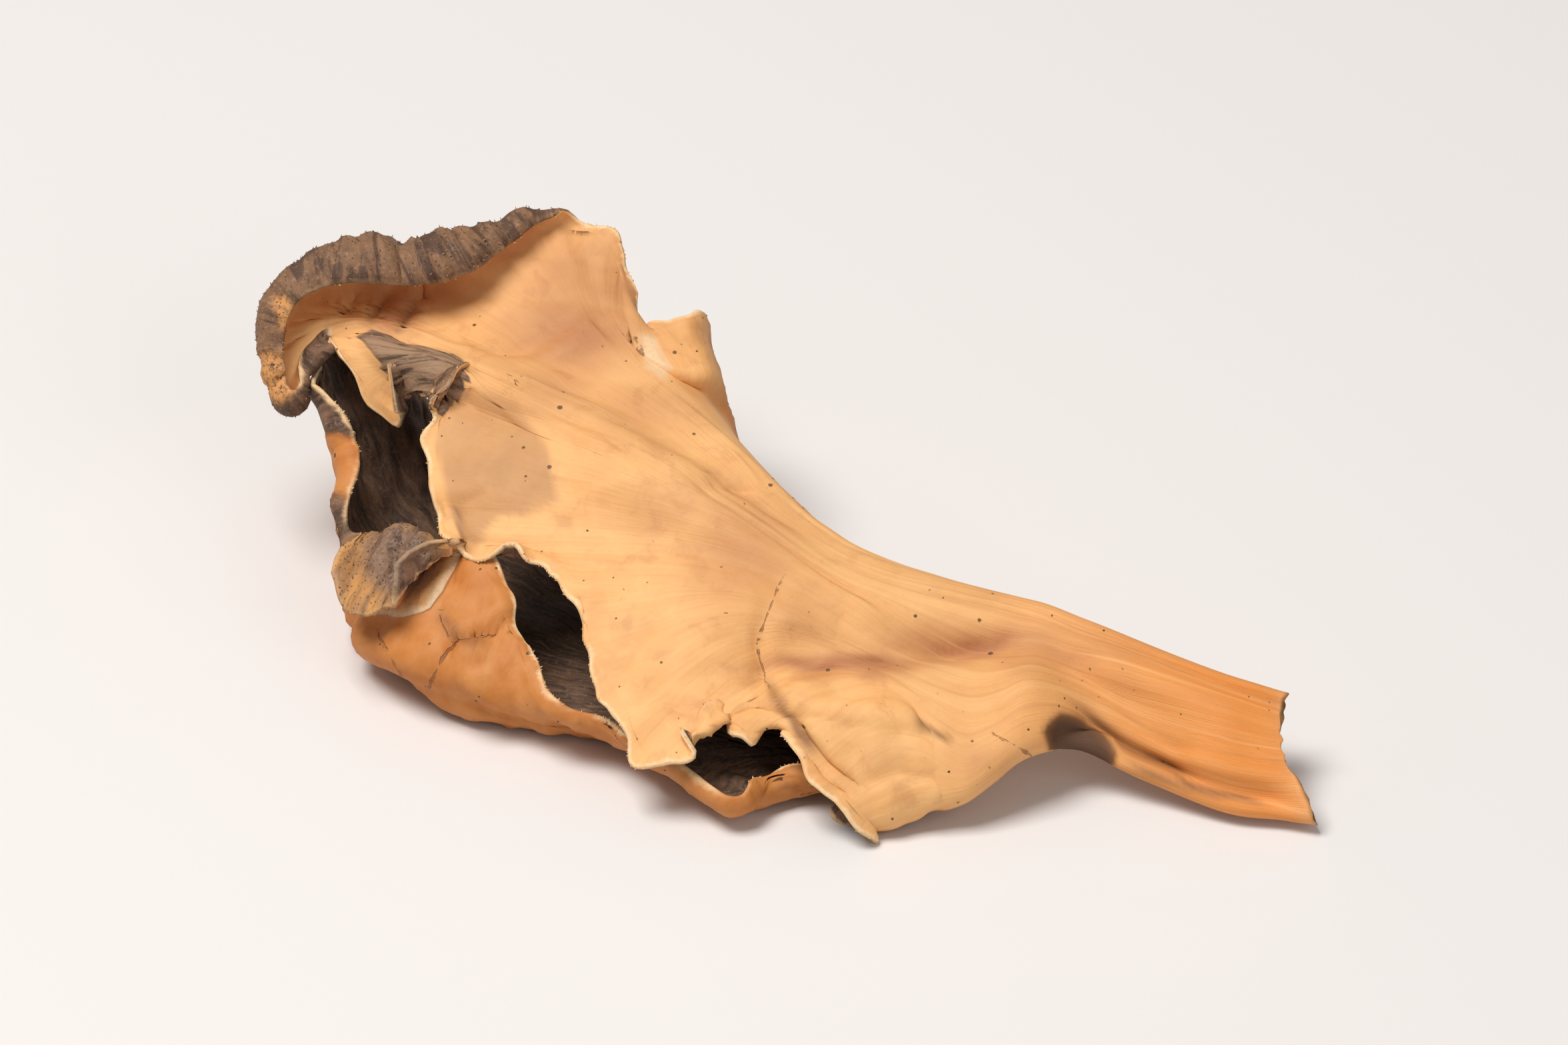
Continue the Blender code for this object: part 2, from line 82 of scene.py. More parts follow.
# Where the construction put the sheet: the slope of its floor, the middle it leans about, and the shift
LEAN = (-0.0005, 0.0065)
MIDDLE = (-5.736, 15.232)
SHIFT = (-0.208, 15.257, 0.108)

# Relief shared with the construction
FURROW, FURROWS = 0.26, 7
VEIN = 0.20
DENT = 0.42
WRINKLE, WRINKLE_PITCH = 0.24, 1.6
RAGGED = 0.35
SHORTEST, SHORTEST_CUT = 0.25, 0.06  # the least that the sheet goes on past its edge, whole and torn
OPEN_TURN = 1.8  # an edge that turns less, in radians, is shortened where its columns close on each other
CLOSING_SHARE = 0.6  # how much of the way to where they meet it keeps
STEM_FADES = 0.45
ROLL_FROM, ROLL_GROWS = 9, 14

# Relief of the fine sheet alone
STEM_SOFTENED, ROLL_SOFTENED = 0.35, 0.35  # what is left of the construction's furrows and wrinkles
FINE_FURROW = 0.15  # long furrows of the stem
FINE_VEIN = 0.055  # low veins of the pale side
SLACK = 0.10  # slack ripples of the cap
FLUTTER, FLUTTER_REACH = 0.30, 1.6  # waves of the free edge, and how far in they reach
SCALE = 0.50  # cross scales of the roll
SKIN_WRINKLE = 0.13  # wrinkles of the dark inner skin
CRUMPLE = 0.20  # wrinkles of the under side's pouch
TEETH = 0.30  # teeth of the torn edge
LAYER_HIGH = 0.35  # how far a folded layer stands out
STEP_REACH = 2.2  # how far below a groove the flesh is stepped down
FOOT_FRAY, FOOT_DIP, FOOT_HOLLOW = 0.35, 0.8, 1.3  # how the cut foot is frayed, and how deep its hollow goes
FOOT_NARROWS, FRAYED_ROWS = 0.66, 5
WALL_UNEVEN = 0.25  # how much the torn edge's thickness varies
RIM_OUT = 0.7  # how far the torn rim stands out, in half thicknesses
FOLDED, UNFOLDING = 0.45, 6  # where a fold is drawn smooth, and in how many passes
MOVED = 0.8  # how far each pass moves a place
INLAND, INLAND_GROWS = 12, 10  # rows from the edge where unfolding is stronger
LEFT_OF, LEFT_GROWS = 2, 3  # and how far left it is
CROWDED = 0.13  # columns nearer than this are evened out
EVENED, GIVEN_BACK = 0.60, 0.62  # the share of a pass that evens them out, and of one that gives size back

# The photograph looks along +Y, down at this angle
VIEW_ELEVATION = math.radians(34)

# Markings, in millimetres across and up as the photograph looks at them
CREASE = [(0.1, 12.6), (-0.4, 11.0), (-1.2, 8.9), (-0.9, 7.4), (-0.3, 6.2)]
LOBE_FOLD = [(0.3, 6.0), (1.3, 4.5), (2.6, 3.1), (3.8, 2.3)]
CRACKS = [
    CREASE,
    [(-7.0, 23.1), (-6.6, 22.4), (-6.1, 21.7)],
    [(-16.4, 6.7), (-15.8, 7.8), (-15.1, 8.9), (-14.2, 9.2), (-12.7, 9.4)],
    [(-15.1, 8.8), (-15.6, 9.8), (-15.8, 10.6)],
    [(-18.6, 9.6), (-18.0, 8.4), (-17.2, 7.4)],
    [(9.2, 4.9), (10.4, 4.3), (11.6, 3.9)],
    [(-12.9, 21.2), (-12.5, 21.0), (-12.2, 20.5)],
]
GROOVES = [  # (depth, half width, how far the flesh below it is stepped down, points)
    (0.50, 0.36, 0.50, [
        (12.2, 6.3), (13.3, 6), (14.5, 5.1), (15.8, 4.1), (17.8, 3.2), (19.9, 2.5), (21.8, 2.1),
        (24.4, 1.5)]),
    (0.42, 0.55, 0, [
        (-1.2, 8.3), (1.3, 7.7), (6.6, 8.4), (9.6, 9.3), (11.6, 9.4), (13.7, 8.3), (15.8, 7.3)]),
    (0.16, 0.30, 0.16, CREASE),
    (0.12, 0.30, 0, [(9.6, 6.0), (10.8, 5.6), (12.0, 5.9)]),
    (0.60, 0.50, 0, [(11.6, 4.9), (12.6, 4.9), (13.8, 4.4), (15.2, 3.4)]),
    (0.10, 0.50, 0, [(14.6, 7.4), (17.0, 5.9), (20.0, 4.3), (22.6, 3.4)]),
    (0.28, 0.28, 0, [(-16.5, 25.3), (-17.4, 24.0), (-18.1, 22.8)]),
    (0.24, 0.24, 0.10, [(-18.0, 25.6), (-18.8, 24.2), (-19.4, 23.1)]),
    (0.20, 0.24, 0, [(-19.6, 25.4), (-20.2, 24.2), (-20.5, 23.4)]),
    (0.22, 0.35, 0.10, [(-14.9, 15.3), (-14.8, 14.0), (-14.6, 12.7)]),
    (0.16, 0.35, 0, [(-20.2, 9.8), (-19.2, 8.0), (-18.2, 7.6), (-17.9, 8.8)]),
    (0.20, 0.40, 0, [(-17.0, 11.0), (-18.0, 9.9), (-19.2, 9.4)]),
    (0.34, 0.26, 0.10, [(-15.8, 8.4), (-14.9, 9.0), (-14.0, 9.3), (-12.6, 9.4)]),
    (0.16, 0.30, 0, [(-15.8, 10.8), (-15.1, 9.0), (-16.3, 6.8)]),
    (0.10, 0.40, 0, [(-0.2, 4.6), (1.6, 4.0), (3.0, 2.6)]),
    (0.20, 0.17, 0.08, LOBE_FOLD),
    (0.16, 0.15, 0.06, [(0.0, 5.4), (0.9, 4.0), (2.1, 2.7), (3.2, 1.7)]),
    (0.24, 0.34, 0, [(3.4, 2.3), (4.6, 2.9), (6.2, 2.9), (7.6, 2.4)]),
    (0.16, 0.20, 0, [(4.8, 4.9), (6.2, 4.6), (7.3, 4.1)]),
    (0.16, 0.22, 0, [(5.6, 5.7), (6.6, 4.9), (8.2, 4.2)]),
]
CREASE_SHADE_LINES = [  # painted shade: soft brown lines in the creases of the folds and grooves: (half width, points)
    (0.30, [(12.6, 6.3), (13.4, 5.9), (14.6, 5.0), (15.9, 4.0), (17.9, 3.1), (19.4, 2.6)]),
    (0.22, [(-15.0, 15.6), (-14.8, 14.0), (-14.6, 12.6)]),
    (0.25, [(-0.9, 7.6), (-0.4, 6.4), (0.6, 5.0), (1.6, 3.4)]),
    (0.13, LOBE_FOLD),
    (0.16, [(5.6, 5.6), (6.6, 4.9), (7.9, 4.3)]),
    (0.16, [(15.2, 3.6), (17.6, 2.7), (20.4, 1.9), (22.4, 1.5)]),
    (0.22, [(-16.8, 24.9), (-17.5, 23.8), (-18.1, 22.9)]),
    (0.20, [(-18.2, 25.2), (-18.9, 24.1), (-19.4, 23.2)]),
    (0.30, [(-15.9, 10.6), (-15.1, 9.4), (-14.4, 8.9), (-13.2, 9.2)]),
]
RUDDY_AND_SHADED_PATCHES = [  # where the pale side is ruddier, and where it is painted darker as shade: the shadow along the neck's groove and the darker top of the cap. (across, up, half width, half height, strength)
    (-9.8, 23.2, 3.4, 2.2, 1.0), (-8.2, 25.6, 4.6, 2.6, 0.7), (-10.6, 20.6, 3.0, 1.6, 0.45),
    (-18.0, 24.0, 1.4, 1.1, 1.0), (-1.8, 12.9, 2.6, 2.8, 0.6), (-6.6, 19.4, 2.8, 1.4, 0.5),
    (3.2, 7.9, 4.6, 0.6, 1.1), (8.2, 8.7, 4.2, 0.8, 1.1), (-5.4, 15.0, 3.0, 1.4, 0.35),
    (11.6, 8.3, 3.6, 0.8, 0.6), (0.6, 10.4, 1.6, 1.8, 0.4), (-17.0, 25.0, 3.2, 0.9, 0.9),
    (8.8, 3.4, 2.0, 1.0, 0.35),
]
# a browner patch of the pale side, on the left of the cap
BROWNER_PATCH = [
    (-16.2, 19.8), (-14.5, 20.9), (-12.0, 20.1), (-10.9, 18.1), (-10.2, 15.4), (-12.8, 14.5), (-14.5, 13.0),
    (-15.6, 16.2),
]
SCUFF = [(-6.7, 23.0), (-5.9, 22.9), (-5.2, 21.6), (-5.6, 20.9), (-6.3, 21.5)]
DARK_LAYER = [  # a folded layer of the edge that shows its dark side, lying on the pale side
    (-19.5, 22.9), (-18.7, 23.2), (-17.5, 22.5), (-16.2, 22.4), (-15.0, 22.1), (-14.5, 21.2), (-14.9, 20.3),
    (-15.8, 19.4), (-16.9, 20.2), (-18.2, 21.7),
]
ROSETTE_LAYER = [  # the same at the left, where the dark side is frilled
    (-19.7, 11.6), (-18.6, 12.8), (-17.0, 14.0), (-15.6, 14.1), (-15.0, 13.4), (-15.2, 12.2), (-15.6, 11.1),
    (-16.4, 10.4), (-17.4, 10.1), (-18.7, 10.2), (-19.6, 10.6),
]
ROSETTE_AT, ROSETTE_REACH = (-17.6, 12.7), 2.4
# painted shade: a dark pocket under the arch between the front lobe and the stem, where the stem's back layer
# lies in shadow
POCKET_SHADE = [(11.6, 5.1), (12.4, 5.7), (13.3, 5.4), (14.3, 4.6), (15.2, 3.8), (14.4, 2.9), (13, 3.2), (12, 3.9)]
TIP_FROM, TIP_GROWS = 6.0, 17.0  # where the stem turns orange
PALE_FOLD = [
    (-4.0, 6.3), (-3.3, 6.6), (-2.5, 5.8), (-2.3, 5.1), (-3.1, 4.7), (-4.0, 4.1), (-4.5, 4.6), (-4.1, 5.6),
]
BARE = [  # places of the dark skin where pale flesh shows
    [(-24.0, 22.5), (-22.9, 22.5), (-22.4, 21.0), (-23.2, 20.1), (-24.1, 20.9)],
    [(-23.6, 24.8), (-22.9, 25.0), (-22.3, 23.6), (-23.3, 23.4)],
]
SOOTY = [  # places of the pale side that are as dark as the skin
    [(-22.4, 16.2), (-20.6, 16.0), (-19.2, 15.0), (-18.8, 12.9), (-20.6, 12.0), (-22.6, 12.6)],
    [(-22.8, 21.8), (-19.0, 21.8), (-19.2, 18.4), (-22.2, 18.7)],
]

# Colours, as linear light
PALE = (0.80, 0.42, 0.155, 1)
PALE_LIGHT = (0.86, 0.50, 0.215, 1)
PALE_DEEP = (0.70, 0.32, 0.10, 1)
PALE_BROWN = (0.47, 0.235, 0.10, 1)
STEM_ORANGE = (0.74, 0.25, 0.045, 1)
TAN_AND_UNDER_SHADE = (0.50, 0.165, 0.030, 1)
RUDDY = (0.44, 0.175, 0.070, 1)
DARK = (0.060, 0.034, 0.022, 1)
DARK_WARM = (0.215, 0.118, 0.070, 1)
DARK_LIGHT = (0.40, 0.245, 0.145, 1)
ROLL_BROWN = (0.27, 0.140, 0.072, 1)
ROLL_DEEP = (0.085, 0.045, 0.028, 1)
RUST = (0.42, 0.19, 0.06, 1)
TORN = (0.86, 0.62, 0.36, 1)
FRILL = (0.80, 0.60, 0.38, 1)
ROSETTE_RIM = (0.56, 0.27, 0.085, 1)
ROSETTE_GREY = (0.27, 0.185, 0.14, 1)
SPECK = (0.07, 0.04, 0.02, 1)
# the brown of the painted shade in the creases and in the pocket under the stem, and of the cracks
SHADE_AND_CRACK_BROWN = (0.21, 0.085, 0.030, 1)

# The view and the light, in metres and watts
VIEW_WIDTH = 0.072
LENS, SENSOR = 500, 36
LOOKS_AT = (0.0002, 0.0, 0.0071)
CLIPS = (0.05, 20)
SKY, SKY_COLOUR = 0.28, (1.0, 0.98, 0.96, 1)
LIGHTS = [
    ("key", (-0.15, -0.05, 0.42), 0.22, 2.05, (1.0, 0.97, 0.93)),
    ("fill", (0.30, -0.40, 0.30), 0.40, 0.6, (1.0, 0.97, 0.94)),
]
FLOOR_REACH, FLOOR_COLOUR, FLOOR_ROUGHNESS = 3.0, (0.76, 0.74, 0.735, 1), 0.45

# The stem is a flattened tube between a back rail and a front rail: (back, front, half the gap between its
# layers), from the cut foot to the neck.
STEM_RUNS = (-1.0, 0.25, 0.1)
STEM = [
    ((22.9, 5.8, 3.7), (24.3, 0.5, 0.9), 0.50),
    ((21.6, 6.0, 4.0), (22.4, 0.8, 0.9), 0.62),
    ((20.0, 6.5, 4.2), (20.4, 1.1, 1.0), 0.70),
    ((16.4, 7.7, 4.9), (16.5, 2.8, 1.7), 0.75),
    ((13.7, 8.6, 5.5), (13.2, 3.7, 2.8), 0.85),
    ((11.8, 9.7, 5.7), (10.8, 2.5, 3.2), 1.00),
    ((10.1, 10.7, 5.6), (8.3, 0.9, 1.9), 1.20),
]


def rib(edge, via=(), curl=0.0, radius=1.0, flap=0.0, lie=None):
    """One rib of the cap: the points it passes from the neck to the edge, and how its edge rolls. curl is in
    degrees, positive where the edge rolls over the pale side; flap is flat flesh beyond the roll. lie places
    an upper rib between the two guide lines: 0 on the front one, 1 on the back one."""
    turn = math.radians(curl)
    bend = abs(turn) * radius
    return {"path": [*via, edge], "turn": turn, "bend": bend, "roll": max(bend + flap, RIM), "lie": lie}


# Front, over the top of the cap, to the back.
UPPER = [
    rib((4.2, -0.3, 0.4), [(6.4, 0.1, 0.8)]),  # front lobe, its tip first
    rib((3.1, 0.0, 1.6), [(5.8, 0.8, 2.4)]),
    rib((1.9, 1.0, 2.8), [(5.1, 2.6, 4.0)]),
    rib((-0.4, 3.9, 3.9), [(4.2, 4.9, 4.6)]),  # crease, knob and tab
    rib((-1.6, 3.1, 3.6), [(3.5, 5.4, 4.9)]),
    rib((-2.9, 4.1, 4.2), [(2.8, 5.9, 5.2)]),
    rib((-4.8, 1.9, 3.2), [(1.4, 6.5, 5.6)]),
    rib((-6.1, 2.2, 3.1), [(0.2, 7.1, 6.0)]),  # lip of the slot, from its low end
    rib((-7.2, 4.4, 4.2), [(-0.9, 7.8, 6.4)]),
    rib((-8.6, 7.6, 5.4), [(-1.7, 8.6, 6.9)]),
    rib((-9.8, 11.2, 6.8), [(-2.2, 9.4, 7.4)]),
    rib((-11.9, 13.0, 7.1), [(-2.6, 10.2, 7.8)]),
    rib((-14.4, 14.0, 6.7), [(-2.8, 11.0, 8.2)]),  # left edge
    rib((-15.6, 16.2, 8.0), [(-3.0, 11.8, 8.6)]),
    rib((-15.9, 18.6, 9.3), [(-3.0, 12.7, 8.9)]),
    rib((-15.7, 20.8, 10.1), curl=150, radius=0.7, flap=1.1, lie=0.08),  # dark folded layer
    rib((-17.1, 22.0, 10.2), curl=170, radius=0.75, flap=2.5, lie=0.14),
    rib((-18.0, 22.2, 8.9), [(-16.8, 22.3, 11.0)], lie=0.2),  # tongue, and the notch beside it
    rib((-20.3, 24.3, 10.6), [(-16.8, 22.6, 11.2)], lie=0.25),
    rib((-21.0, 25.4, 11.0), [(-16.8, 22.9, 11.3)], lie=0.3),
    rib((-21.8, 24.4, 9.7), [(-16.8, 23.2, 11.4), (-20.4, 25.6, 11.2)], curl=40, lie=0.35),  # left lobe
    rib((-22.5, 23.9, 8.5), [(-16.8, 23.5, 11.5), (-21.1, 26.0, 11.3)], curl=190, radius=0.8, lie=0.4),
    rib((-23.2, 25.2, 9.9), [(-16.7, 23.8, 11.6), (-21.5, 26.4, 11.5)], curl=200, radius=0.9, lie=0.45),
    rib((-22.2, 26.6, 11.3), [(-16.6, 24.1, 11.8)], curl=210, radius=1.25, lie=0.5),  # roll
    rib((-19.2, 26.9, 11.6), curl=235, radius=1.8, lie=0.58),
    rib((-16.3, 27.2, 11.9), curl=240, radius=1.65, lie=0.66),
    rib((-13.2, 28.5, 13.1), curl=235, radius=1.15, lie=0.75),
    rib((-11.2, 29.5, 13.7), [(-9.6, 25.6, 12.6)], curl=200, radius=0.85, lie=0.83),
    rib((-8.3, 29.1, 13.8), [(-8.1, 24.8, 12.3)], lie=0.89),  # top corner and torn side
    rib((-7.3, 26.2, 12.6), [(-7.3, 23.7, 11.9)], lie=0.93),
    rib((-6.4, 24.2, 11.7), lie=0.965),  # torn notch and horn
    rib((-4.2, 24.9, 11.9), lie=1),
]

# Back, underneath, to the front.
LOWER = [
    rib((-3.7, 26.6, 9.6), [(4.6, 12.6, 5.6), (0.4, 16.4, 6.8), (-1.8, 20.2, 7.8)]),  # back edge
    rib((-4.6, 29.4, 5.4), [(3.6, 11.8, 2.8), (-1.6, 19.6, 3.6)]),
    rib((-9.4, 30.8, 0.5), [(2.6, 11.0, 1.4), (-4.3, 19.4, 1.1), (-7.6, 26.4, 0.6)]),
    rib((-14.8, 30.2, 1.8), [(1.6, 10.0, 0.9), (-7.2, 18.6, 0.5)]),
    rib((-19.0, 28.3, 8.2), [(1.0, 9.4, 0.7), (-10.0, 17.5, 0.4), (-17.0, 24.6, 2.0)]),
    rib((-21.6, 26.4, 9.4), [(0.2, 8.8, 0.6), (-11.5, 15.8, 0.4), (-18.8, 21.8, 2.2)]),  # left hem
    rib((-20.6, 21.4, 6.2), [(0.0, 8.6, 0.5), (-12.0, 14.7, 0.4), (-19.0, 18.9, 2.0)], curl=-120, radius=0.7),
    rib((-20.3, 18.2, 4.2), [(-0.4, 8.4, 0.5), (-12.5, 13.6, 0.4), (-20.0, 16.4, 1.5)], curl=-40, radius=0.8),
    rib((-18.1, 16.0, 4.1), [(-0.6, 8.2, 0.5), (-12.2, 12.8, 0.4), (-20.6, 14.2, 1.6)],  # rosette
        curl=165, radius=1.0, flap=3.4),
    rib((-17.2, 15.7, 4.8), [(-0.6, 8.0, 0.5), (-12.0, 11.8, 0.4), (-20.0, 11.6, 1.4), (-18.6, 13.4, 3.6)],
        curl=178, radius=1.0, flap=4.6),
    rib((-15.6, 14.5, 5.2), [(-0.4, 7.7, 0.5), (-11.0, 10.2, 0.4), (-17.9, 8.7, 1.2), (-16.7, 11.4, 4.0)],
        curl=172, radius=0.8, flap=4.0),
    rib((-13.9, 13.0, 6.1), [(0, 7.4, 0.5), (-9, 9.3, 0.4), (-15.6, 7, 0.9), (-15.8, 8.7, 3.4)]),  # pouch
    rib((-12.5, 9.9, 4.6), [(0.6, 7.0, 0.5), (-7.6, 8.8, 0.4), (-13.2, 7.4, 0.6), (-14.0, 7.5, 2.6)],
        curl=-50, radius=0.5),
    rib((-10.7, 6.5, 2.8), [(1.2, 6.4, 0.5), (-5.8, 8.2, 0.4), (-10.2, 8.6, 0.5), (-11.2, 7.1, 1.7)],
        curl=-60, radius=0.5),
    rib((-8.2, 5.2, 2.4), [(1.8, 5.8, 0.5), (-4.4, 7.4, 0.4), (-7.6, 7.6, 0.6), (-8.5, 6.2, 1.6)],
        curl=-70, radius=0.5),
    rib((-5.8, 3.6, 1.7), [(2.6, 5.2, 0.6), (-2.6, 5.8, 0.4), (-5.0, 4.6, 0.6)], curl=-90, radius=0.5),
    rib((-1.9, 0.9, 1), [(3.6, 4.2, 0.7), (0.6, 3.4, 0.5), (-1.2, 1.4, 0.45)],  # point under the slot
        curl=-110, radius=0.55),
    rib((-0.3, 2.4, 1.7), [(4.4, 3.4, 0.8), (1.0, 2.8, 0.9)], curl=-70, radius=0.5),
    rib((2.0, 2.3, 1.4), [(5.2, 2.6, 0.9)]),  # under the crease and the front lobe
    rib((3.5, 0.7, 0.4), [(6.0, 1.0, 0.5)]),
]

# Two lines over the upper side, from neck to edge, that the ribs between them follow.
GUIDES = (
    [(3.0, 9.2, 6.9), (-6.0, 13.9, 9.2), (-15.9, 18.6, 9.3)],
    [(2.8, 12.5, 7.5), (-1.9, 18.6, 10.5), (-4.3, 25.3, 12.1)],
)

# Where the upper ribs leave the neck, in degrees round it from its front rail, for these places in UPPER.
UPPER_PLACES, UPPER_TURNS = (0, 1, 2, 3, 10, len(UPPER) - 1), (0, 20, 38, 56, 84, 180)

# Soft folds of the upper side, drawn in plan: (height, half width, points).
FOLDS = [
    (-0.75, 1.1, [(-0.6, 6.2), (3.0, 7.2), (6.4, 7.6), (11.4, 7.1), (15.0, 5.2), (17.6, 3.0)]),
    (0.35, 1.2, [(1.0, 3.4), (6.0, 4.0), (10.6, 4.6)]),
    (0.35, 1.3, [(20.0, 4.4), (13.0, 8.0), (6.0, 10.4), (-1.0, 12.4), (-8.0, 16.6)]),
    (-0.35, 1.4, [(2.0, 9.2), (-4.0, 11.4), (-10.0, 14.2)]),
    (-0.45, 1.6, [(-2.0, 19.0), (-6.0, 21.4), (-12.0, 22.6)]),
    (0.30, 1.5, [(-1.0, 9.0), (-4.6, 7.2), (-6.4, 5.0)]),
]


def between(u, v, start, end, t):
    """On the way from u at start to v at end, for each t."""
    return (end - t) / (end - start) * u + (t - start) / (end - start) * v


def catmull(points, per_span, closed=False):
    """Points on a centripetal Catmull-Rom curve through points; per_span gives the samples in each span."""
    p = np.asarray(points, float)
    before, after = (p[-1:], p[:2]) if closed else (2 * p[:1] - p[1:2], 2 * p[-1:] - p[-2:-1])
    line = np.concatenate([before, p, after])
    out = []
    for i, count in enumerate(per_span):
        a, b, c, d = line[i : i + 4]
        step = [max(np.linalg.norm(v - u), 1e-6) ** 0.5 for u, v in ((a, b), (b, c), (c, d))]
        t0, t1, t2, t3 = np.cumsum([0.0, *step])
        t = (t1 + (t2 - t1) * np.arange(count) / count)[:, None]
        ab, bc, cd = between(a, b, t0, t1, t), between(b, c, t1, t2, t), between(c, d, t2, t3, t)
        out.append(between(between(ab, bc, t0, t2, t), between(bc, cd, t1, t3, t), t1, t2, t))
    if not closed:
        out.append(p[-1:])
    return np.concatenate(out)


def even(points, shares):
    """The points at the given shares of a dense line's length."""
    run = np.concatenate([[0.0], np.cumsum(np.linalg.norm(np.diff(points, axis=0), axis=1))])
    return np.stack([np.interp(shares * run[-1], run, points[:, k]) for k in range(3)], axis=1)


def stem_ring(back, front, gap, turns):
    """A closed cross-section between two rails. Turns are angles: 0 at the front rail, a quarter on top."""
    back, front = np.array(back), np.array(front)
    centre, wide = (back + front) / 2, (front - back) / 2
    up = np.cross(wide, STEM_RUNS)
    up = -up / np.linalg.norm(up) * gap
    if up[2] < 0:
        up = -up
    return centre + np.cos(turns)[:, None] * wide + np.sin(turns)[:, None] * up


def beside(v, reach, axis=1):
    """The sum of the values that many places to either side, round the ring."""
    return np.roll(v, reach, axis=axis) + np.roll(v, -reach, axis=axis)


def across(v, reach, axis=1):
    """The way from the value that many places back to the one that many places on, round the ring."""
    return np.roll(v, -reach, axis=axis) - np.roll(v, reach, axis=axis)


def relaxed(rows):
    """The grid with its cap smoothed between the neck and the edge, so that neighbouring ribs never cross."""
    rows = rows.copy()
    first = STEM_ROWS - RELAXED_STEM
    for _ in range(RELAXING):
        near = (rows[first - 1 : -2] + rows[first + 1 :]) / 4 + beside(rows, 1)[first:-1] / 4
        rows[first:-1] = (rows[first:-1] + near) / 2
    return rows


def guided(lie, far):
    """The two points, between the guide lines, by which a rib reaches the point far."""
    lines = [np.array(front) + lie * (np.array(back) - np.array(front)) for front, back in zip(*GUIDES)]
    return [lines[0], lines[1] + PULLED * (np.array(far) - lines[2])]


def sheet_grid():
    """The middle of the sheet as rows of points, foot to edge, and how each column's edge rolls."""
    ribs = UPPER + LOWER
    turns = np.concatenate([
        np.radians(np.interp(np.arange(len(UPPER)), UPPER_PLACES, UPPER_TURNS)),
        np.linspace(math.pi, 2 * math.pi, len(LOWER) + 2)[1:-1],
    ])
    rings = [stem_ring(*station, turns) for station in STEM]
    neck = SPAN_POINTS * (len(rings) - 1)
    lines = []
    for i, r in enumerate(ribs):
        path = r["path"] if r["lie"] is None else [*guided(r["lie"], r["path"][0]), *r["path"]]
        whole = np.concatenate([np.array([ring[i] for ring in rings]), np.array(path, float)])
        dense = catmull(whole, [SPAN_POINTS] * (len(whole) - 1))
        stem = even(dense[: neck + 1], np.linspace(0, 1, STEM_ROWS))
        lines.append(np.concatenate([stem[:-1], even(dense[neck:], np.linspace(0, 1, CAP_ROWS))]))
    lines = np.array(lines)

    edge = lines[:, -1]
    spans = np.linalg.norm(np.roll(edge, -1, axis=0) - edge, axis=1) + SHARED
    counts = np.maximum(3, np.round(COLUMNS * spans / spans.sum())).astype(int)
    rows = np.stack([catmull(lines[:, j], counts, closed=True) for j in range(lines.shape[1])])
    loose = [[r["turn"], r["bend"], r["roll"], float(i >= len(UPPER))] for i, r in enumerate(ribs)]
    rows = relaxed(rows)
    off = (rows[..., 0] - BELLY_AT[0]) ** 2 + (rows[..., 1] - BELLY_AT[1]) ** 2
    rows[..., 2] += BELLY * np.exp(-off / BELLY_REACH**2) * eased(1.5 - 0.5 * rows[..., 2])
    return rows, catmull(loose, counts, closed=True)


def read_between(values, places, closed=False):
    """The rows of values at fractional places along its first axis, on a smooth curve through them."""
    n = len(values)
    first = np.floor(places).astype(int)
    t = (places - first).reshape(-1, *[1] * (values.ndim - 1))
    a, b, c, d = (values[(first + k) % n if closed else np.clip(first + k, 0, n - 1)] for k in (-1, 0, 1, 2))
    return b + 0.5 * t * (c - a + t * (2 * a - 5 * b + 4 * c - d + t * (3 * (b - c) + d - a)))


def unit(v):
    """Vectors made one long."""
    return v / np.maximum(np.linalg.norm(v, axis=-1, keepdims=True), 1e-9)


def normals_of(rows):
    """Outward normals of the grid: away from the hollow of the trumpet."""
    return unit(np.cross(across(rows, 1) / 2, np.gradient(rows, axis=0)))


def smoothed(v, reach):
    """A ring of values averaged over reach neighbours on each side."""
    return sum(np.roll(v, k, axis=0) for k in range(-reach, reach + 1)) / (2 * reach + 1)


def eased(x):
    """A smooth step from 0 to 1."""
    x = np.clip(x, 0, 1)
    return x * x * (3 - 2 * x)


def bell(x):
    """1 at nought, falling smoothly to 0 on both sides."""
    return np.exp(-(x**2))


def but_ends(along, sharp):
    """1 along a line, falling to 0 at its two ends."""
    return eased(sharp * along) * eased(sharp * (1 - along))


def wave(x, seed, period=1.0):
    """Smooth seeded noise that repeats over the period, about -1 to 1. x may be any array."""
    rng = np.random.default_rng(SEED + seed)
    total = np.zeros_like(x, dtype=float)
    for k in range(1, WAVES + 1):
        total += rng.uniform(0.4, 1.0) / k**0.5 * np.sin(2 * math.pi * k * x / period + rng.uniform(0, 6.28))
    return total / WAVES_HIGH


def lumps(points, size, seed):
    """Smooth noise over space, about -1 to 1, in lumps of the given size, from hashed cell corners."""
    p = points / size
    cell = np.floor(p).astype(np.int64)
    f = p - cell
    f = f * f * (3 - 2 * f)
    total = np.zeros(points.shape[:-1])
    for corner in itertools.product((0, 1), repeat=3):
        c = cell + np.array(corner)
        h = (c[..., 0] * HASH[0]) ^ (c[..., 1] * HASH[1]) ^ (c[..., 2] * HASH[2]) ^ (seed * HASH[3])
        h = ((h ^ (h >> 13)) * HASH_MIX) & 0x7FFFFFFF
        h = (h ^ (h >> 15)) & 0xFFFF
        weight = np.prod(np.where(np.array(corner) == 1, f, 1 - f), axis=-1)
        total += weight * (h / 32767.5 - 1)
    return total


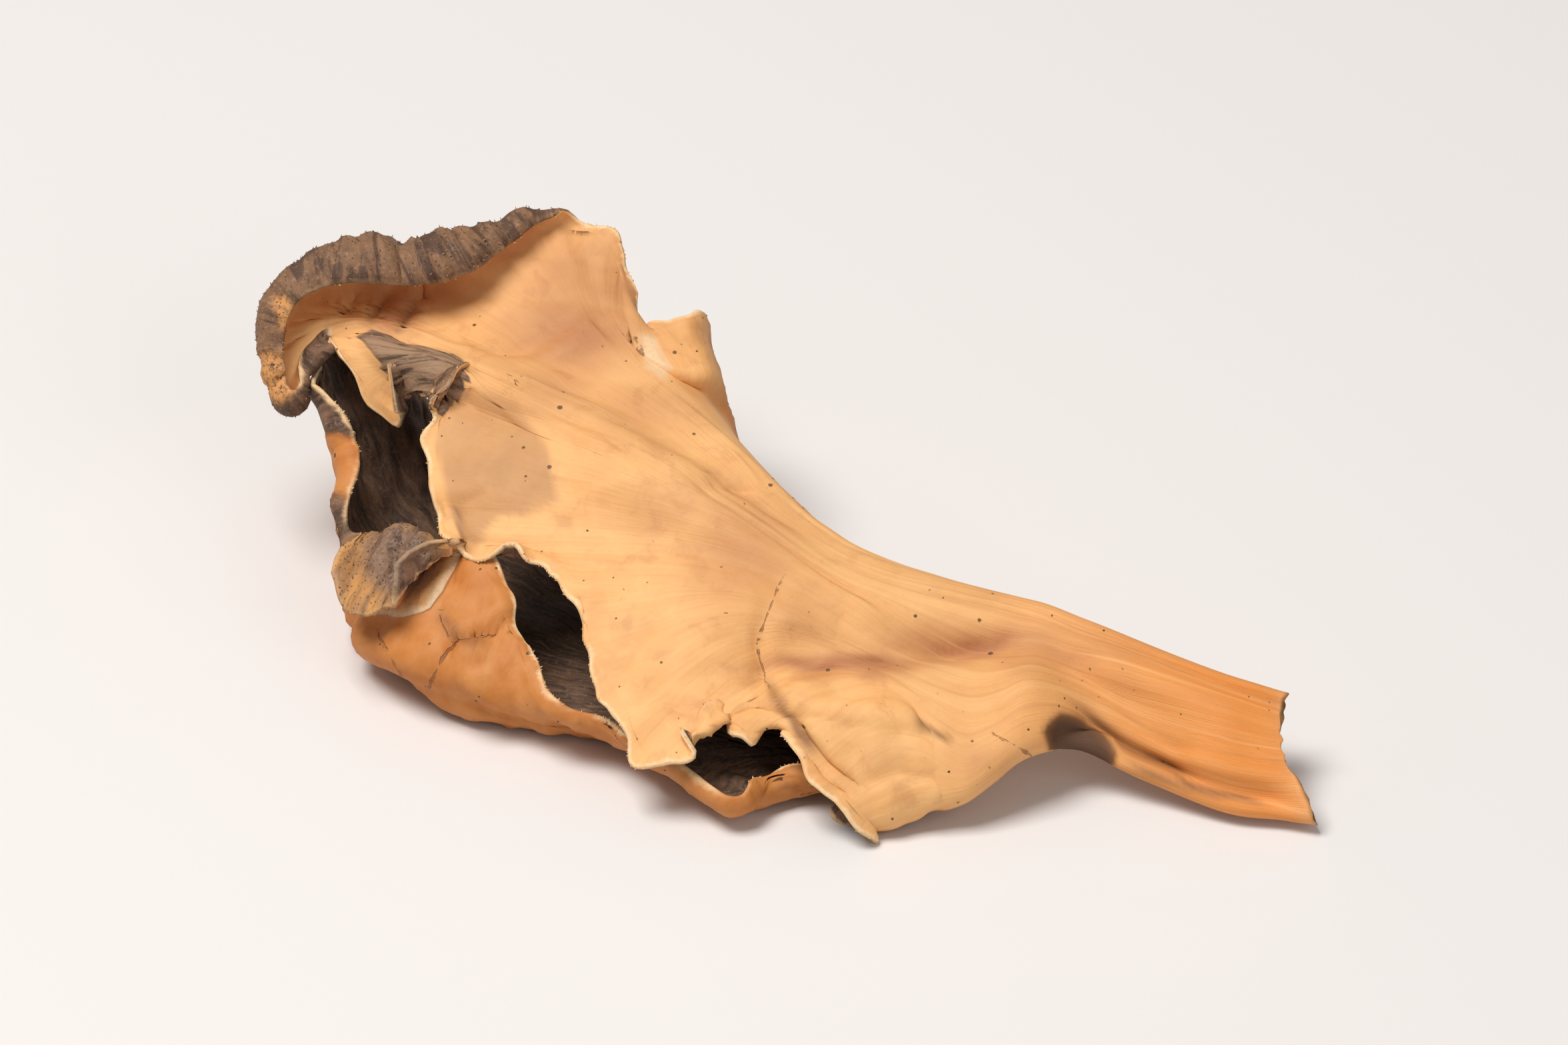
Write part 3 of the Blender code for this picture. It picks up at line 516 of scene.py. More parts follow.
def off_line(plan, points, closed=False):
    """How far each place in plan is from a line through points, on which side of it, and how far along it."""
    line = np.array(points, float)
    best = np.full(plan.shape[:-1], 1e9)
    side = np.ones_like(best)
    run, along = 0.0, np.zeros_like(best)
    ends = list(zip(line[:-1], line[1:])) + ([(line[-1], line[0])] if closed else [])
    for a, b in ends:
        ab = b - a
        share = np.clip(((plan - a) @ ab) / max(ab @ ab, 1e-9), 0, 1)
        off = plan - (a + share[..., None] * ab)
        far = np.linalg.norm(off, axis=-1)
        near = far < best
        best = np.where(near, far, best)
        side = np.where(near, np.sign(ab[0] * off[..., 1] - ab[1] * off[..., 0]), side)
        along = np.where(near, run + share * np.linalg.norm(ab), along)
        run += np.linalg.norm(ab)
    return best, side, along / run


def off_curve(plan, points):
    """The same for a smooth line through a few points."""
    return off_line(plan, catmull([(*p, 0.0) for p in points], [12] * (len(points) - 1))[:, :2])


def finer():
    """The drawn sheet read on the fine grid: rows of points, each row's place, and each column's roll."""
    rows, curl = sheet_grid()
    stem, cap = np.linspace(0, NECK, FINE_STEM_ROWS), np.linspace(NECK, EDGE, FINE_CAP_ROWS)
    places = np.concatenate([stem[:-1], cap])
    round_it = np.arange(FINE_COLUMNS) * rows.shape[1] / FINE_COLUMNS
    rows = read_between(rows, places)
    rows = np.swapaxes(read_between(np.swapaxes(rows, 0, 1), round_it, closed=True), 0, 1)
    return rows, places, read_between(curl, round_it, closed=True)


def torn(ring, turn):
    """How far the torn edge stands out or falls short along it: broad bites, teeth and fine fray."""
    teeth = lumps(ring, 1.5, 31) + 0.6 * lumps(ring, 0.7, 32) + 0.4 * np.abs(lumps(ring, 0.36, 33))
    return TEETH * teeth * np.clip(1 - 0.6 * np.abs(turn), 0.15, 1)


def picked(pick, v, reach, axis=1):
    """The greatest or the least, as pick says, of each value and those reach places to either side."""
    return pick(v, pick(np.roll(v, reach, axis=axis), np.roll(v, -reach, axis=axis)))


def softened(v, reach):
    """A grid evened out with the columns that many places away and the rows next to each."""
    v = (2 * v + np.roll(v, reach, axis=1) + np.roll(v, -reach, axis=1)) / 4
    v[1:-1] = (2 * v[1:-1] + v[2:] + v[:-2]) / 4
    return v


def with_rolled_edge(rows, curl, ring):
    """The grid with its edge carried on round each column's roll, square to the line of the edge."""
    line = unit(smoothed(across(rows[-1], 1, axis=0), 10))
    along = smoothed(unit(rows[-1] - rows[-3]), 6)
    along = unit(along - (along * line).sum(-1, keepdims=True) * line)
    outward = unit(np.cross(line, along))
    turn, bend, length = curl.T[:3]
    ragged = wave(np.arange(len(turn)) / len(turn), 21, 0.08) * np.clip(1 - np.abs(turn), 0, 1)
    length = np.where(turn > 0, RIM + (length - RIM) * eased((turn - 1.3) / 1.2), length)
    length = np.maximum(length + RAGGED * ragged, SHORTEST) + torn(ring, turn)
    gap = across(rows[-1], 3, axis=0)
    closing = -(gap * across(along, 3, axis=0)).sum(-1) / (gap * gap).sum(-1)
    widest = CLOSING_SHARE / np.maximum(closing, 0.1)
    for reach in (3, 6, 9):
        widest = picked(np.minimum, widest, reach, axis=0)
    short = np.minimum(length, smoothed(widest, 6))
    length = smoothed(length + eased(OPEN_TURN - np.abs(turn)) * (short - length), 1)
    length = np.maximum(length, SHORTEST_CUT)
    rate = np.clip(length / np.clip(bend, 0.05, None), 1, None)
    point, more = rows[-1], []
    step = (length / FINE_CURL_ROWS)[:, None]
    for k in range(FINE_CURL_ROWS):
        angle = (turn * np.minimum(rate * (k + 0.5) / FINE_CURL_ROWS, 1))[:, None]
        point = point + step * (np.cos(angle) * along + np.sin(angle) * outward)
        more.append(point)
    return np.concatenate([rows, np.stack(more)])


def neighbours(v, columns, rows):
    """The mean of the four places that lie that many columns or rows away."""
    own = np.arange(len(v))
    reach = np.minimum(rows, np.minimum(own, own[::-1]))  # the same up and down, so the edge draws nothing in
    return (beside(v, columns) + v[own - reach] + v[own + reach]) / 4


def uncrowded(values, rows, keep_size=1):
    """Values on the grid evened out along the rows where the columns crowd together, as on the stem."""
    gap = np.linalg.norm(np.roll(rows, -1, axis=1) - rows, axis=-1)
    for reach in (1, 2, 4, 8):
        gap = (2 * gap + np.roll(gap, reach, axis=1) + np.roll(gap, -reach, axis=1)) / 4
    crowd = eased(2 - 2 * gap / CROWDED)[..., None]
    for reach in (10, 8, 6, 4, 2, 1):
        for share in (EVENED, -GIVEN_BACK * keep_size):
            values = values + share * crowd * (beside(values, reach) / 2 - values)
    return values


def spread(weights, columns, rows):
    """The greatest weight within that many columns and rows, softened at its edge."""
    for reach in range(1, columns + 1, 2):
        weights = picked(np.maximum, weights, reach)
    for _ in range(rows):
        weights[1:-1] = np.maximum(weights[1:-1], np.maximum(weights[2:], weights[:-2]))
    for reach in (4, 3, 2, 1):
        weights = softened(weights, reach)
    return weights


def unfolded(rows, free, reach, times):
    """The grid drawn smooth where it had folded through itself. free is 1 where it may move."""
    for _ in range(UNFOLDING):
        smooth = rows.copy()
        for _ in range(times):
            near = (neighbours(smooth, reach, 1) + neighbours(smooth, 2 * reach, 2)) / 2
            smooth = smooth + (MOVED * free)[..., None] * (near - smooth)
        folded = (normals_of(rows) * normals_of(smooth)).sum(-1) < FOLDED
        if not (folded & (free > 0)).any():
            break
        share = spread(folded * free, 2 * reach, 2) * free
        rows = rows + share[..., None] * (smooth - rows)
    return rows


def opened(rows, places, free, times):
    """The grid unfolded finely, and then more strongly well inside the edge and off the stem."""
    inland = eased((EDGE - INLAND - places) / INLAND_GROWS)[:, None] * free
    inland = inland * eased((LEFT_OF - rows[..., 0]) / LEFT_GROWS)
    return unfolded(unfolded(rows, free, 2, times), inland, 5, 12)


def relief(rows, places, curl, margin):
    """How far each point of the sheet stands out of its smooth course, as in the construction."""
    n = rows.shape[1]
    j = places[:, None]
    along = np.clip((j - NECK) / (EDGE - NECK), 0, 1)
    stem = eased(1 - (j - NECK) / (STEM_FADES * CAP_ROWS))
    rolled = eased((j - EDGE + ROLL_FROM) / ROLL_GROWS)
    turn = (np.arange(n) / n)[None, :]
    x, y = rows[..., 0], rows[..., 1]
    furrows = 0.7 * np.sin(2 * math.pi * (FURROWS * turn + 0.01 * x)) + 0.6 * wave(turn + 0.004 * x, 3, 0.5)
    furrows = STEM_SOFTENED * FURROW * stem * furrows
    veins = VEIN * (0.4 + 0.6 * along) * wave(turn + 0.02 * np.sin(9 * along), 5, 0.25)
    dents = DENT * wave(x / 17.0 + 0.5 * wave(y / 23.0, 11), 9) * wave(y / 19.0, 13)
    skin = ROLL_SOFTENED * WRINKLE * rolled * np.clip(np.abs(curl[:, 0]) - 1.2, 0, 1)
    skin = skin * (0.6 + 0.5 * wave(margin / 7.0, 17))
    skin = skin * np.sin(2 * math.pi * (margin / WRINKLE_PITCH + 0.5 * wave(margin / 9.0, 15)))
    upper = np.clip(3 * normals_of(rows)[..., 2], 0, 1)
    folds = sum(high * (bell(off_curve(rows[..., :2], line)[0] / half) * upper) for high, half, line in FOLDS)
    return furrows + veins * (1 - stem) * (1 - rolled) + dents * (1 - stem) * (1 - rolled) + skin + folds


def seen_from_front(rows):
    """Where the photograph sees each point: millimetres across and up."""
    up = math.sin(VIEW_ELEVATION) * rows[..., 1] + math.cos(VIEW_ELEVATION) * rows[..., 2]
    return np.stack([rows[..., 0], up], axis=-1)


def facing(normals):
    """1 where the sheet's outside faces the photograph, 0 where it faces away."""
    towards = np.array([0, -math.cos(VIEW_ELEVATION), math.sin(VIEW_ELEVATION)])
    return eased(2.5 * (normals @ towards) + 0.3)


def inside_of(seen, outline, soft):
    """1 inside an outline drawn as the photograph sees it, falling to 0 over soft millimetres round it."""
    far = off_line(seen, outline, closed=True)[0]
    x, y = seen[..., 0], seen[..., 1]
    within = np.zeros(x.shape, bool)
    for (ax, ay), (bx, by) in zip(outline, outline[1:] + outline[:1]):
        crosses = (ay > y) != (by > y)
        cut = ax + (y - ay) * (bx - ax) / np.where(by == ay, 1e-9, by - ay)
        within ^= crosses & (x < cut)
    return eased(0.5 + np.where(within, far, -far) / soft)


def grooved(rows):
    """How far the grooves, steps and layers of the side in view set each point of the sheet in or out."""
    seen, depth = seen_from_front(rows), np.zeros(rows.shape[:2])
    for deep, half, step, line in GROOVES:
        far, side, along = off_curve(seen, line)
        below = np.where(side < 0, 1.0, bell(far / half))
        depth -= but_ends(along, 5) * (deep * bell(far / half) + step * below * bell(far / STEP_REACH))
    depth += LAYER_HIGH * inside_of(seen, DARK_LAYER, 0.4) * (rows[..., 2] > 5)
    depth += LAYER_HIGH * inside_of(seen, ROSETTE_LAYER, 0.5) * (rows[..., 2] < 7)
    return depth * facing(normals_of(rows))


def room_behind(rows, normals):
    """How far behind each point the other side of the collapsed sheet lies, up to ROOM."""
    count, n = rows.shape[:2]
    ids = np.arange(count * n).reshape(count, n)
    low, high = ids[:-1], ids[1:]
    quads = np.stack([low, np.roll(low, -1, axis=1), np.roll(high, -1, axis=1), high], axis=-1).reshape(-1, 4)
    tree = BVHTree.FromPolygons(rows.reshape(-1, 3).tolist(), quads.tolist())
    room = np.full((count, n), ROOM)
    for k, i in itertools.product(range(count), range(0, n, 2)):
        towards = Vector(-normals[k, i])
        far = tree.ray_cast(Vector(rows[k, i]) + 0.05 * towards, towards, ROOM)[3]
        room[k, i] = ROOM if far is None else far
    room[:, 1::2] = np.minimum(room[:, ::2], np.roll(room[:, ::2], -1, axis=1))
    for reach in (1, 2):
        room = picked(np.minimum, room, reach)
        room[1:-1] = np.minimum(room[1:-1], np.minimum(room[2:], room[:-2]))
    for _ in range(6):
        room = softened(room, 1)
    return room


class Sheet:
    """The fine sheet before it is a mesh: its grid, and what each place on it is like."""

    def __init__(self):
        rows, places, curl = finer()
        gaps = np.linalg.norm(np.roll(rows[-1], -1, axis=0) - rows[-1], axis=1)
        margin = np.concatenate([[0], np.cumsum(gaps)[:-1]])
        radius = gaps.sum() / (2 * math.pi)
        # the closed edge as a circle of its length, so that noise on it closes too
        ring = [radius * np.cos(margin / radius), radius * np.sin(margin / radius), 0 * margin]
        self.ring = np.stack(ring, axis=-1)
        free = np.ones(rows.shape[:2])
        free[: FINE_STEM_ROWS - 6] = 0
        free[-2:] = 0
        rows = opened(rows, places, free, 3)
        for _ in range(2):
            rows = uncrowded(rows, rows)
        rows = with_rolled_edge(rows, curl, self.ring)
        rolled_places = EDGE + np.arange(1, FINE_CURL_ROWS + 1) * CURL_ROWS / FINE_CURL_ROWS
        self.places = np.concatenate([places, rolled_places])
        past_edge = self.places[:, None] - EDGE
        turn = np.abs(curl[:, 0])
        drawn = relief(rows, self.places, curl, margin) + grooved(rows)
        rows = rows + normals_of(rows) * drawn[..., None]
        steps = np.linalg.norm(np.diff(rows, axis=0), axis=-1)
        run = np.concatenate([np.zeros((1, rows.shape[1])), np.cumsum(steps, axis=0)])  # mm from the foot
        self.along = np.stack([0 * run, 0 * run, run], axis=-1)
        self.fibre = self.ring + self.along  # round the sheet, and along its fibres
        self.to_edge = run[-1] - run  # mm from the torn edge
        self.stem = eased(1 - (self.places - NECK)[:, None] / (STEM_FADES * CAP_ROWS)) + 0 * run
        self.lower = np.clip(curl[:, 3], 0, 1)[None, :] + 0 * run
        self.rolled = eased((turn - 1.4) / 1.0)[None, :] * eased((past_edge + 8) / 10)
        rows = rows + normals_of(rows) * self.fine_relief(rows)[..., None]
        rows = uncrowded(rows, rows)
        free = np.concatenate([free[:-2], np.ones((FINE_CURL_ROWS + 2, rows.shape[1]))])
        free *= 1 - eased(turn / 0.8)[None, :] * eased((past_edge + 8) / 8)
        self.rows = opened(rows, self.places, free, 2)
        self.normals = normals_of(self.rows)
        for _ in range(3):
            self.normals = unit(uncrowded(self.normals, self.rows, 0))
        self.seen = seen_from_front(self.rows)

    def streaky(self, wide, long, seed):
        """Noise drawn out along the fibres."""
        return lumps(self.fibre * np.array([1, 1, wide / long]), wide, seed)

    def fine_relief(self, rows):
        """Furrows, veins, slack ripples and the edge's flutter, too fine for the construction."""
        flat = 1 - self.rolled
        furrows = FINE_FURROW * self.stem * (self.streaky(10, 60, 41) + 0.4 * self.streaky(4.5, 36, 42))
        veins = self.streaky(1.4, 14, 43) + 0.5 * self.streaky(0.7, 7, 44)
        veins = FINE_VEIN * (1 - self.stem) * flat * veins
        slack = SLACK * flat * (1 - self.stem) * (lumps(rows, 2.6, 45) + 0.5 * lumps(rows, 1.1, 46))
        flutter = FLUTTER * np.exp(-self.to_edge / FLUTTER_REACH) * flat
        flutter = flutter * (lumps(self.ring, 1.9, 47) + 0.5 * lumps(self.ring, 0.9, 48))
        ring = self.ring + 0.16 * self.along
        warped = ring + 0.9 * lumps(ring, 1.6, 56)[..., None]
        cross = 0.45 - np.abs(lumps(warped, 1.15, 49)) + 0.5 * (0.4 - np.abs(lumps(warped, 0.55, 50)))
        cross = SCALE * self.rolled * (cross + 0.6 * lumps(ring, 3.2, 57))
        creased = 1 - np.abs(lumps(rows + 0.8 * lumps(rows, 2.2, 58)[..., None], 1.7, 59))
        crumple = creased**3 - 0.4 + 0.5 * lumps(rows, 0.9, 60)
        crumple = CRUMPLE * self.lower * (1 - self.stem) * flat * crumple
        return furrows + veins + slack + flutter + cross + crumple

    def skin_relief(self):
        """Wrinkles of the dark inner skin alone."""
        swirl = self.fibre + 0.6 * np.stack([lumps(self.fibre, 1.7, k) for k in (51, 52, 53)], axis=-1)
        ridges = 1 - np.abs(lumps(swirl * np.array([1, 1, 0.45]), 0.9, 54))
        return SKIN_WRINKLE * (ridges**2 + 0.4 * lumps(swirl, 0.45, 55))


def column_step(row):
    """Columns skipped in a row, counted from the foot."""
    return COLUMN_STEPS[sum(row >= start for start in STEP_ROWS)]


def woven(rings, steps):
    """Vertices and faces of rings of points, each drawn with every steps[k]-th point, joined to the next."""
    n = len(rings[0])
    index, chosen, faces, total = [], [], [], 0
    for step in steps:
        picks = np.arange(0, n, step)
        ids = np.full(n, -1)
        ids[picks] = total + np.arange(len(picks))
        total += len(picks)
        index.append(ids)
        chosen.append(picks)
    for low, high, s, t in zip(index, index[1:], steps, steps[1:]):
        for i in range(0, n, max(s, t)):
            m = (i + max(s, t)) % n
            if s == t:
                faces.append((low[i], low[m], high[m], high[i]))
            elif s > t:
                mid = high[i + t]
                faces += [(low[i], low[m], mid), (low[m], high[m], mid), (low[i], mid, high[i])]
            else:
                mid = low[i + s]
                faces += [(high[i], mid, high[m]), (high[m], mid, low[m]), (high[i], low[i], mid)]
    return index, chosen, faces, total


def in_place(points):
    """Points of the drawing, in millimetres, where the construction has them, in metres."""
    plan = points[..., :2] - np.array(MIDDLE)
    height = points[..., 2] - plan @ np.array(LEAN)
    moved = np.concatenate([points[..., :2], height[..., None]], axis=-1) - np.array(SHIFT)
    moved[..., 2] = np.maximum(moved[..., 2], 0)
    return moved * MM


def markings(sheet):
    """Named values for every place of the sheet's outside, which its materials read."""
    seen, rows, lower = sheet.seen, sheet.rows, sheet.lower
    shown = facing(sheet.normals)
    wander = 0.35 * np.stack([lumps(rows, 1.3, 61), lumps(rows, 1.3, 62)], axis=-1)
    crack, crack_near, crease_shade, blush_and_shade = np.full(lower.shape, 9.0), 0 * lower, 0 * lower, 0 * lower
    for line in CRACKS:
        far, side, along = off_curve(seen + 0.25 * wander, line)
        near = bell(far / 0.8) * but_ends(along, 6)
        crack = np.where(near > crack_near, far * side, crack)
        crack_near = np.maximum(near, crack_near)
    # painted shade in the creases: soft lines along the folds and grooves
    for half, line in CREASE_SHADE_LINES:
        far, _, along = off_curve(seen + 0.3 * wander, line)
        crease_shade = np.maximum(crease_shade, but_ends(along, 4) * bell(far / half))
    x, y = np.moveaxis(seen + wander, -1, 0)
    # ruddier patches, and painted shade along the neck's groove and over the cap's top
    for at_x, at_y, wide, high, strength in RUDDY_AND_SHADED_PATCHES:
        blush_and_shade = np.maximum(blush_and_shade, strength * np.exp(-(((x - at_x) / wide) ** 2 + ((y - at_y) / high) ** 2)))
    x, y = rows[FINE_EDGE, :, :2].T
    rosette = np.exp(-(((x + 17.2) / 2.6) ** 2) - ((y - 16.0) / 2.2) ** 2) * (lower[0] > 0.5)
    return {
        "browner_patch": shown * (1 - lower) * inside_of(seen + wander, BROWNER_PATCH, 0.5),
        "scuff": shown * inside_of(seen + 0.5 * wander, SCUFF, 0.5),
        "bare": sum(inside_of(seen + 0.6 * wander, place, 0.35) for place in BARE) * sheet.rolled,
        "sooty": sum(inside_of(seen + wander, place, 1.2) for place in SOOTY) * shown * lower,
        # painted shade under the arch between the front lobe and the stem
        "pocket_shade": inside_of(seen + 0.5 * wander, POCKET_SHADE, 0.9) * shown,
        "frilled": inside_of(seen + wander, ROSETTE_LAYER, 1.0) * shown * lower,
        "dark_layer": inside_of(seen + 0.6 * wander, DARK_LAYER, 0.12) * shown * (1 - lower),
        "pale_fold": inside_of(seen, PALE_FOLD, 0.3) * (1 - lower),
        "blush_and_shade": shown * blush_and_shade,
        "tip": eased((rows[..., 0] - TIP_FROM) / TIP_GROWS),
        "lower": lower * (1 - sheet.stem),
        "crease_shade": crease_shade * shown,
        "crack": crack,
        "crack_near": crack_near * shown,
        "to_edge": sheet.to_edge,
        "stem": sheet.stem,
        "rolled": sheet.rolled,
        "rosette": rosette * eased((sheet.places[:, None] - EDGE + 6) / 6),
        "rosette_far": np.linalg.norm(seen - np.array(ROSETTE_AT), axis=-1) / ROSETTE_REACH,
    }


def fray_foot(outer):
    """Frays the outside's first rows, where the stem was cut. Returns the way out of the stem, and each
    column's share of the way from the front rail to the back one."""
    front, back = np.array(STEM[0][1]), np.array(STEM[0][0])
    share = np.clip((outer[0] - front) @ (back - front) / ((back - front) @ (back - front)), 0, 1)
    fray = FOOT_FRAY * (lumps(outer[0], 0.9, 64) + 0.6 * lumps(outer[0], 0.4, 65)) * (1.4 - share)
    fray = fray - FOOT_DIP * 4 * share * (1 - share)
    runs = unit(outer[0].mean(axis=0) - outer[6].mean(axis=0))
    for k in range(FRAYED_ROWS):
        outer[k] += runs * (fray * (1 - k / FRAYED_ROWS) ** 2)[:, None]
    return runs, share


def mushroom_mesh(sheet):
    """One closed mesh: the outside from foot to edge, the torn rim, and the inside from edge to hollow."""
    count = len(sheet.rows)
    thin = np.clip((sheet.places - EDGE + THINNED_ROWS) / (THINNED_ROWS + CURL_ROWS), 0, 1)[:, None]
    half = (WALL + (EDGE_WALL - WALL) * thin) / 2 * (1 + WALL_UNEVEN * lumps(sheet.rows, 0.8, 63) * thin)
    outer = sheet.rows + sheet.normals * half[..., None]
    depth = half + sheet.skin_relief() * eased(2 * sheet.to_edge)
    depth = np.minimum(depth, ROOM_SHARE * room_behind(sheet.rows, sheet.normals))
    inner = sheet.rows - sheet.normals * depth[..., None]
    rim = sheet.rows[-1] + unit(sheet.rows[-1] - sheet.rows[-2]) * RIM_OUT * half[-1][:, None]
    runs, share = fray_foot(outer)
    centre = outer[0].mean(axis=0)
    foot = centre + (outer[0] - centre) * FOOT_NARROWS - runs * FOOT_HOLLOW

    cavity = int(np.searchsorted(sheet.places, CAVITY_ROW))
    order = list(range(count - 1, cavity - 1, -1))
    rows_used = [0, *range(count), count - 1, *order]
    steps = [column_step(k) for k in rows_used[: count + 2]]
    steps += [max(column_step(k), COLUMN_STEPS[1] if k < FINE_EDGE - HOLLOW_FINE_ROWS else 1) for k in order]
    rings = [foot, *outer, rim, *inner[order]]
    index, chosen, faces, total = woven(rings, steps)
    first, last = index[0][:: steps[0]], index[-1][:: steps[-1]]
    faces += [(total, b, a) for a, b in zip(first, np.roll(first, -1))]
    faces += [(total + 1, a, b) for a, b in zip(last, np.roll(last, -1))]
    ends = [centre - runs * (FOOT_HOLLOW + 0.5), inner[cavity].mean(axis=0)]
    points = np.concatenate([*(ring[picks] for ring, picks in zip(rings, chosen)), ends])
    mesh = bpy.data.meshes.new("mushroom")
    mesh.from_pydata([tuple(p) for p in in_place(points)], [], [tuple(int(i) for i in f) for f in faces])

    blank = np.zeros(sheet.lower.shape)

    def by_ring(foot, outside, rim, inside):
        """A row of values for each ring, from single values, rows of them or whole grids."""
        return [blank[0] + foot, *(blank + outside), blank[0] + rim, *(blank + inside)[order]]

    frayed = eased(0.5 + 1.6 * lumps(sheet.ring, 2.2, 71)) * (1 - 0.75 * sheet.rolled[-1])
    at_edge = (np.arange(count) == count - 1)[:, None]
    gritty = 0.15 + eased(2 * lumps(sheet.rows, 4.0, 72)) * (1 - sheet.rolled)
    tipward = unit(np.gradient(sheet.rows, axis=0))
    tipward[:4] *= -1
    values = {
        "inside": by_ring(1, 0, 0.5, 1),
        **{name: value[rows_used] for name, value in markings(sheet).items()},
        "foot": by_ring(1, np.exp(-np.arange(count) / 2)[:, None], 0, 0),
        "frayed": by_ring(eased(1.6 - 2.2 * share), at_edge * frayed, frayed, 0),
        "gritty": by_ring(0, gritty, 0, 0),
        "hairy": by_ring(0, 0, 0.5 * sheet.rolled[-1], sheet.rolled),
        "fibre": sheet.fibre[rows_used],
        "tipward": tipward[rows_used],
    }
    for name, ring_values in values.items():
        flat = np.concatenate([row[picks] for row, picks in zip(ring_values, chosen)])
        flat = np.concatenate([flat, flat[[0, -1]]]).astype(np.float32)
        kind, field = ("FLOAT", "value") if flat.ndim == 1 else ("FLOAT_VECTOR", "vector")
        mesh.attributes.new(name, kind, "POINT").data.foreach_set(field, flat.ravel())
    mesh.validate()
    mesh.shade_smooth()
    return mesh


def placed(name, data):
    """A new object in the scene."""
    obj = bpy.data.objects.new(name, data)
    bpy.context.scene.collection.objects.link(obj)
    return obj


class Wire:
    """An output socket in a node tree. Sums written with it add Math nodes."""

    def __init__(self, nodes, socket):
        self.nodes, self.socket = nodes, socket

    def worked(self, operation, *values):
        return self.nodes.add("ShaderNodeMath", {"operation": operation}, list(values))

    __add__ = __radd__ = lambda self, other: self.worked("ADD", self, other)
    __mul__ = __rmul__ = lambda self, other: self.worked("MULTIPLY", self, other)
    __sub__ = lambda self, other: self.worked("SUBTRACT", self, other)
    __rsub__ = lambda self, other: self.worked("SUBTRACT", other, self)
    __pow__ = lambda self, other: self.worked("POWER", self, other)
    __abs__ = lambda self: self.worked("ABSOLUTE", self)

    def capped(self):
        return self.nodes.add("ShaderNodeClamp", {}, [self])

    def from_to(self, low, high):
        """0 below low, 1 above high, and a smooth step between."""
        settings = {"interpolation_type": "SMOOTHSTEP"}
        sockets = {"Value": self, "From Min": low, "From Max": high}
        return self.nodes.add("ShaderNodeMapRange", settings, sockets)


class Nodes:
    """A node tree that is being built."""

    def __init__(self, tree):
        self.tree = tree
        self.tree.nodes.clear()

    def add(self, kind, settings, sockets, out=0):
        """A node with its settings, then the values or wires of its sockets; its output as a wire."""
        node = self.tree.nodes.new(kind)
        for key, value in settings.items():
            setattr(node, key, value)
        for key, value in sockets.items() if isinstance(sockets, dict) else enumerate(sockets):
            if isinstance(value, Wire):
                self.tree.links.new(value.socket, node.inputs[key])
            else:
                node.inputs[key].default_value = value
        return Wire(self, node.outputs[out]) if len(node.outputs) else None

    def scaled(self, vector, by):
        return self.add("ShaderNodeVectorMath", {"operation": "SCALE"}, {0: vector, "Scale": by})


class Shader(Nodes):
    """The node tree of one material."""

    def __init__(self, name):
        self.material = bpy.data.materials.new(name)
        self.material.use_nodes = True
        super().__init__(self.material.node_tree)

    def read(self, name, out="Fac"):
        return self.add("ShaderNodeAttribute", {"attribute_name": name}, {}, out)

    def place(self):
        """Object coordinates in millimetres."""
        return self.scaled(self.add("ShaderNodeTexCoord", {}, {}, "Object"), 1 / MM)

    def drawn_out(self, vector, by):
        """A vector with its last part made smaller, so that what is laid on it grows long that way."""
        return self.add("ShaderNodeVectorMath", {"operation": "MULTIPLY"}, [vector, (1, 1, by)])

    def noise(self, vector, size, detail=3.0, rough=0.55, twist=0.0):
        """Noise about 0.5, with lumps of that size in the vector's own units."""
        sockets = {"Vector": vector, "Scale": 1 / size, "Detail": detail, "Roughness": rough}
        return self.add("ShaderNodeTexNoise", {}, {**sockets, "Distortion": twist}, "Fac")

    def cells(self, vector, size, out="Distance"):
        return self.add("ShaderNodeTexVoronoi", {}, {"Vector": vector, "Scale": 1 / size}, out)

    def mixed(self, a, b, share):
        return self.add("ShaderNodeMix", {"data_type": "RGBA"}, {0: share, 6: a, 7: b}, 2)

    def layered(self, colour, *layers):
        """A colour with others laid over it in turn, each with its share."""
        for over, share in layers:
            colour = self.mixed(colour, over, share)
        return colour

    def finish(self, colour, roughness, height=None, shine=0.5):
        """Ends the tree in one Principled shader. height is in millimetres."""
        sockets = {"Base Color": colour, "Roughness": roughness, "Specular IOR Level": shine}
        if height:
            bump = {"Strength": 1.0, "Distance": MM, "Height": height}
            sockets["Normal"] = self.add("ShaderNodeBump", {}, bump, "Normal")
        surface = self.add("ShaderNodeBsdfPrincipled", {}, sockets, "BSDF")
        self.add("ShaderNodeOutputMaterial", {}, {"Surface": surface})
        return self.material


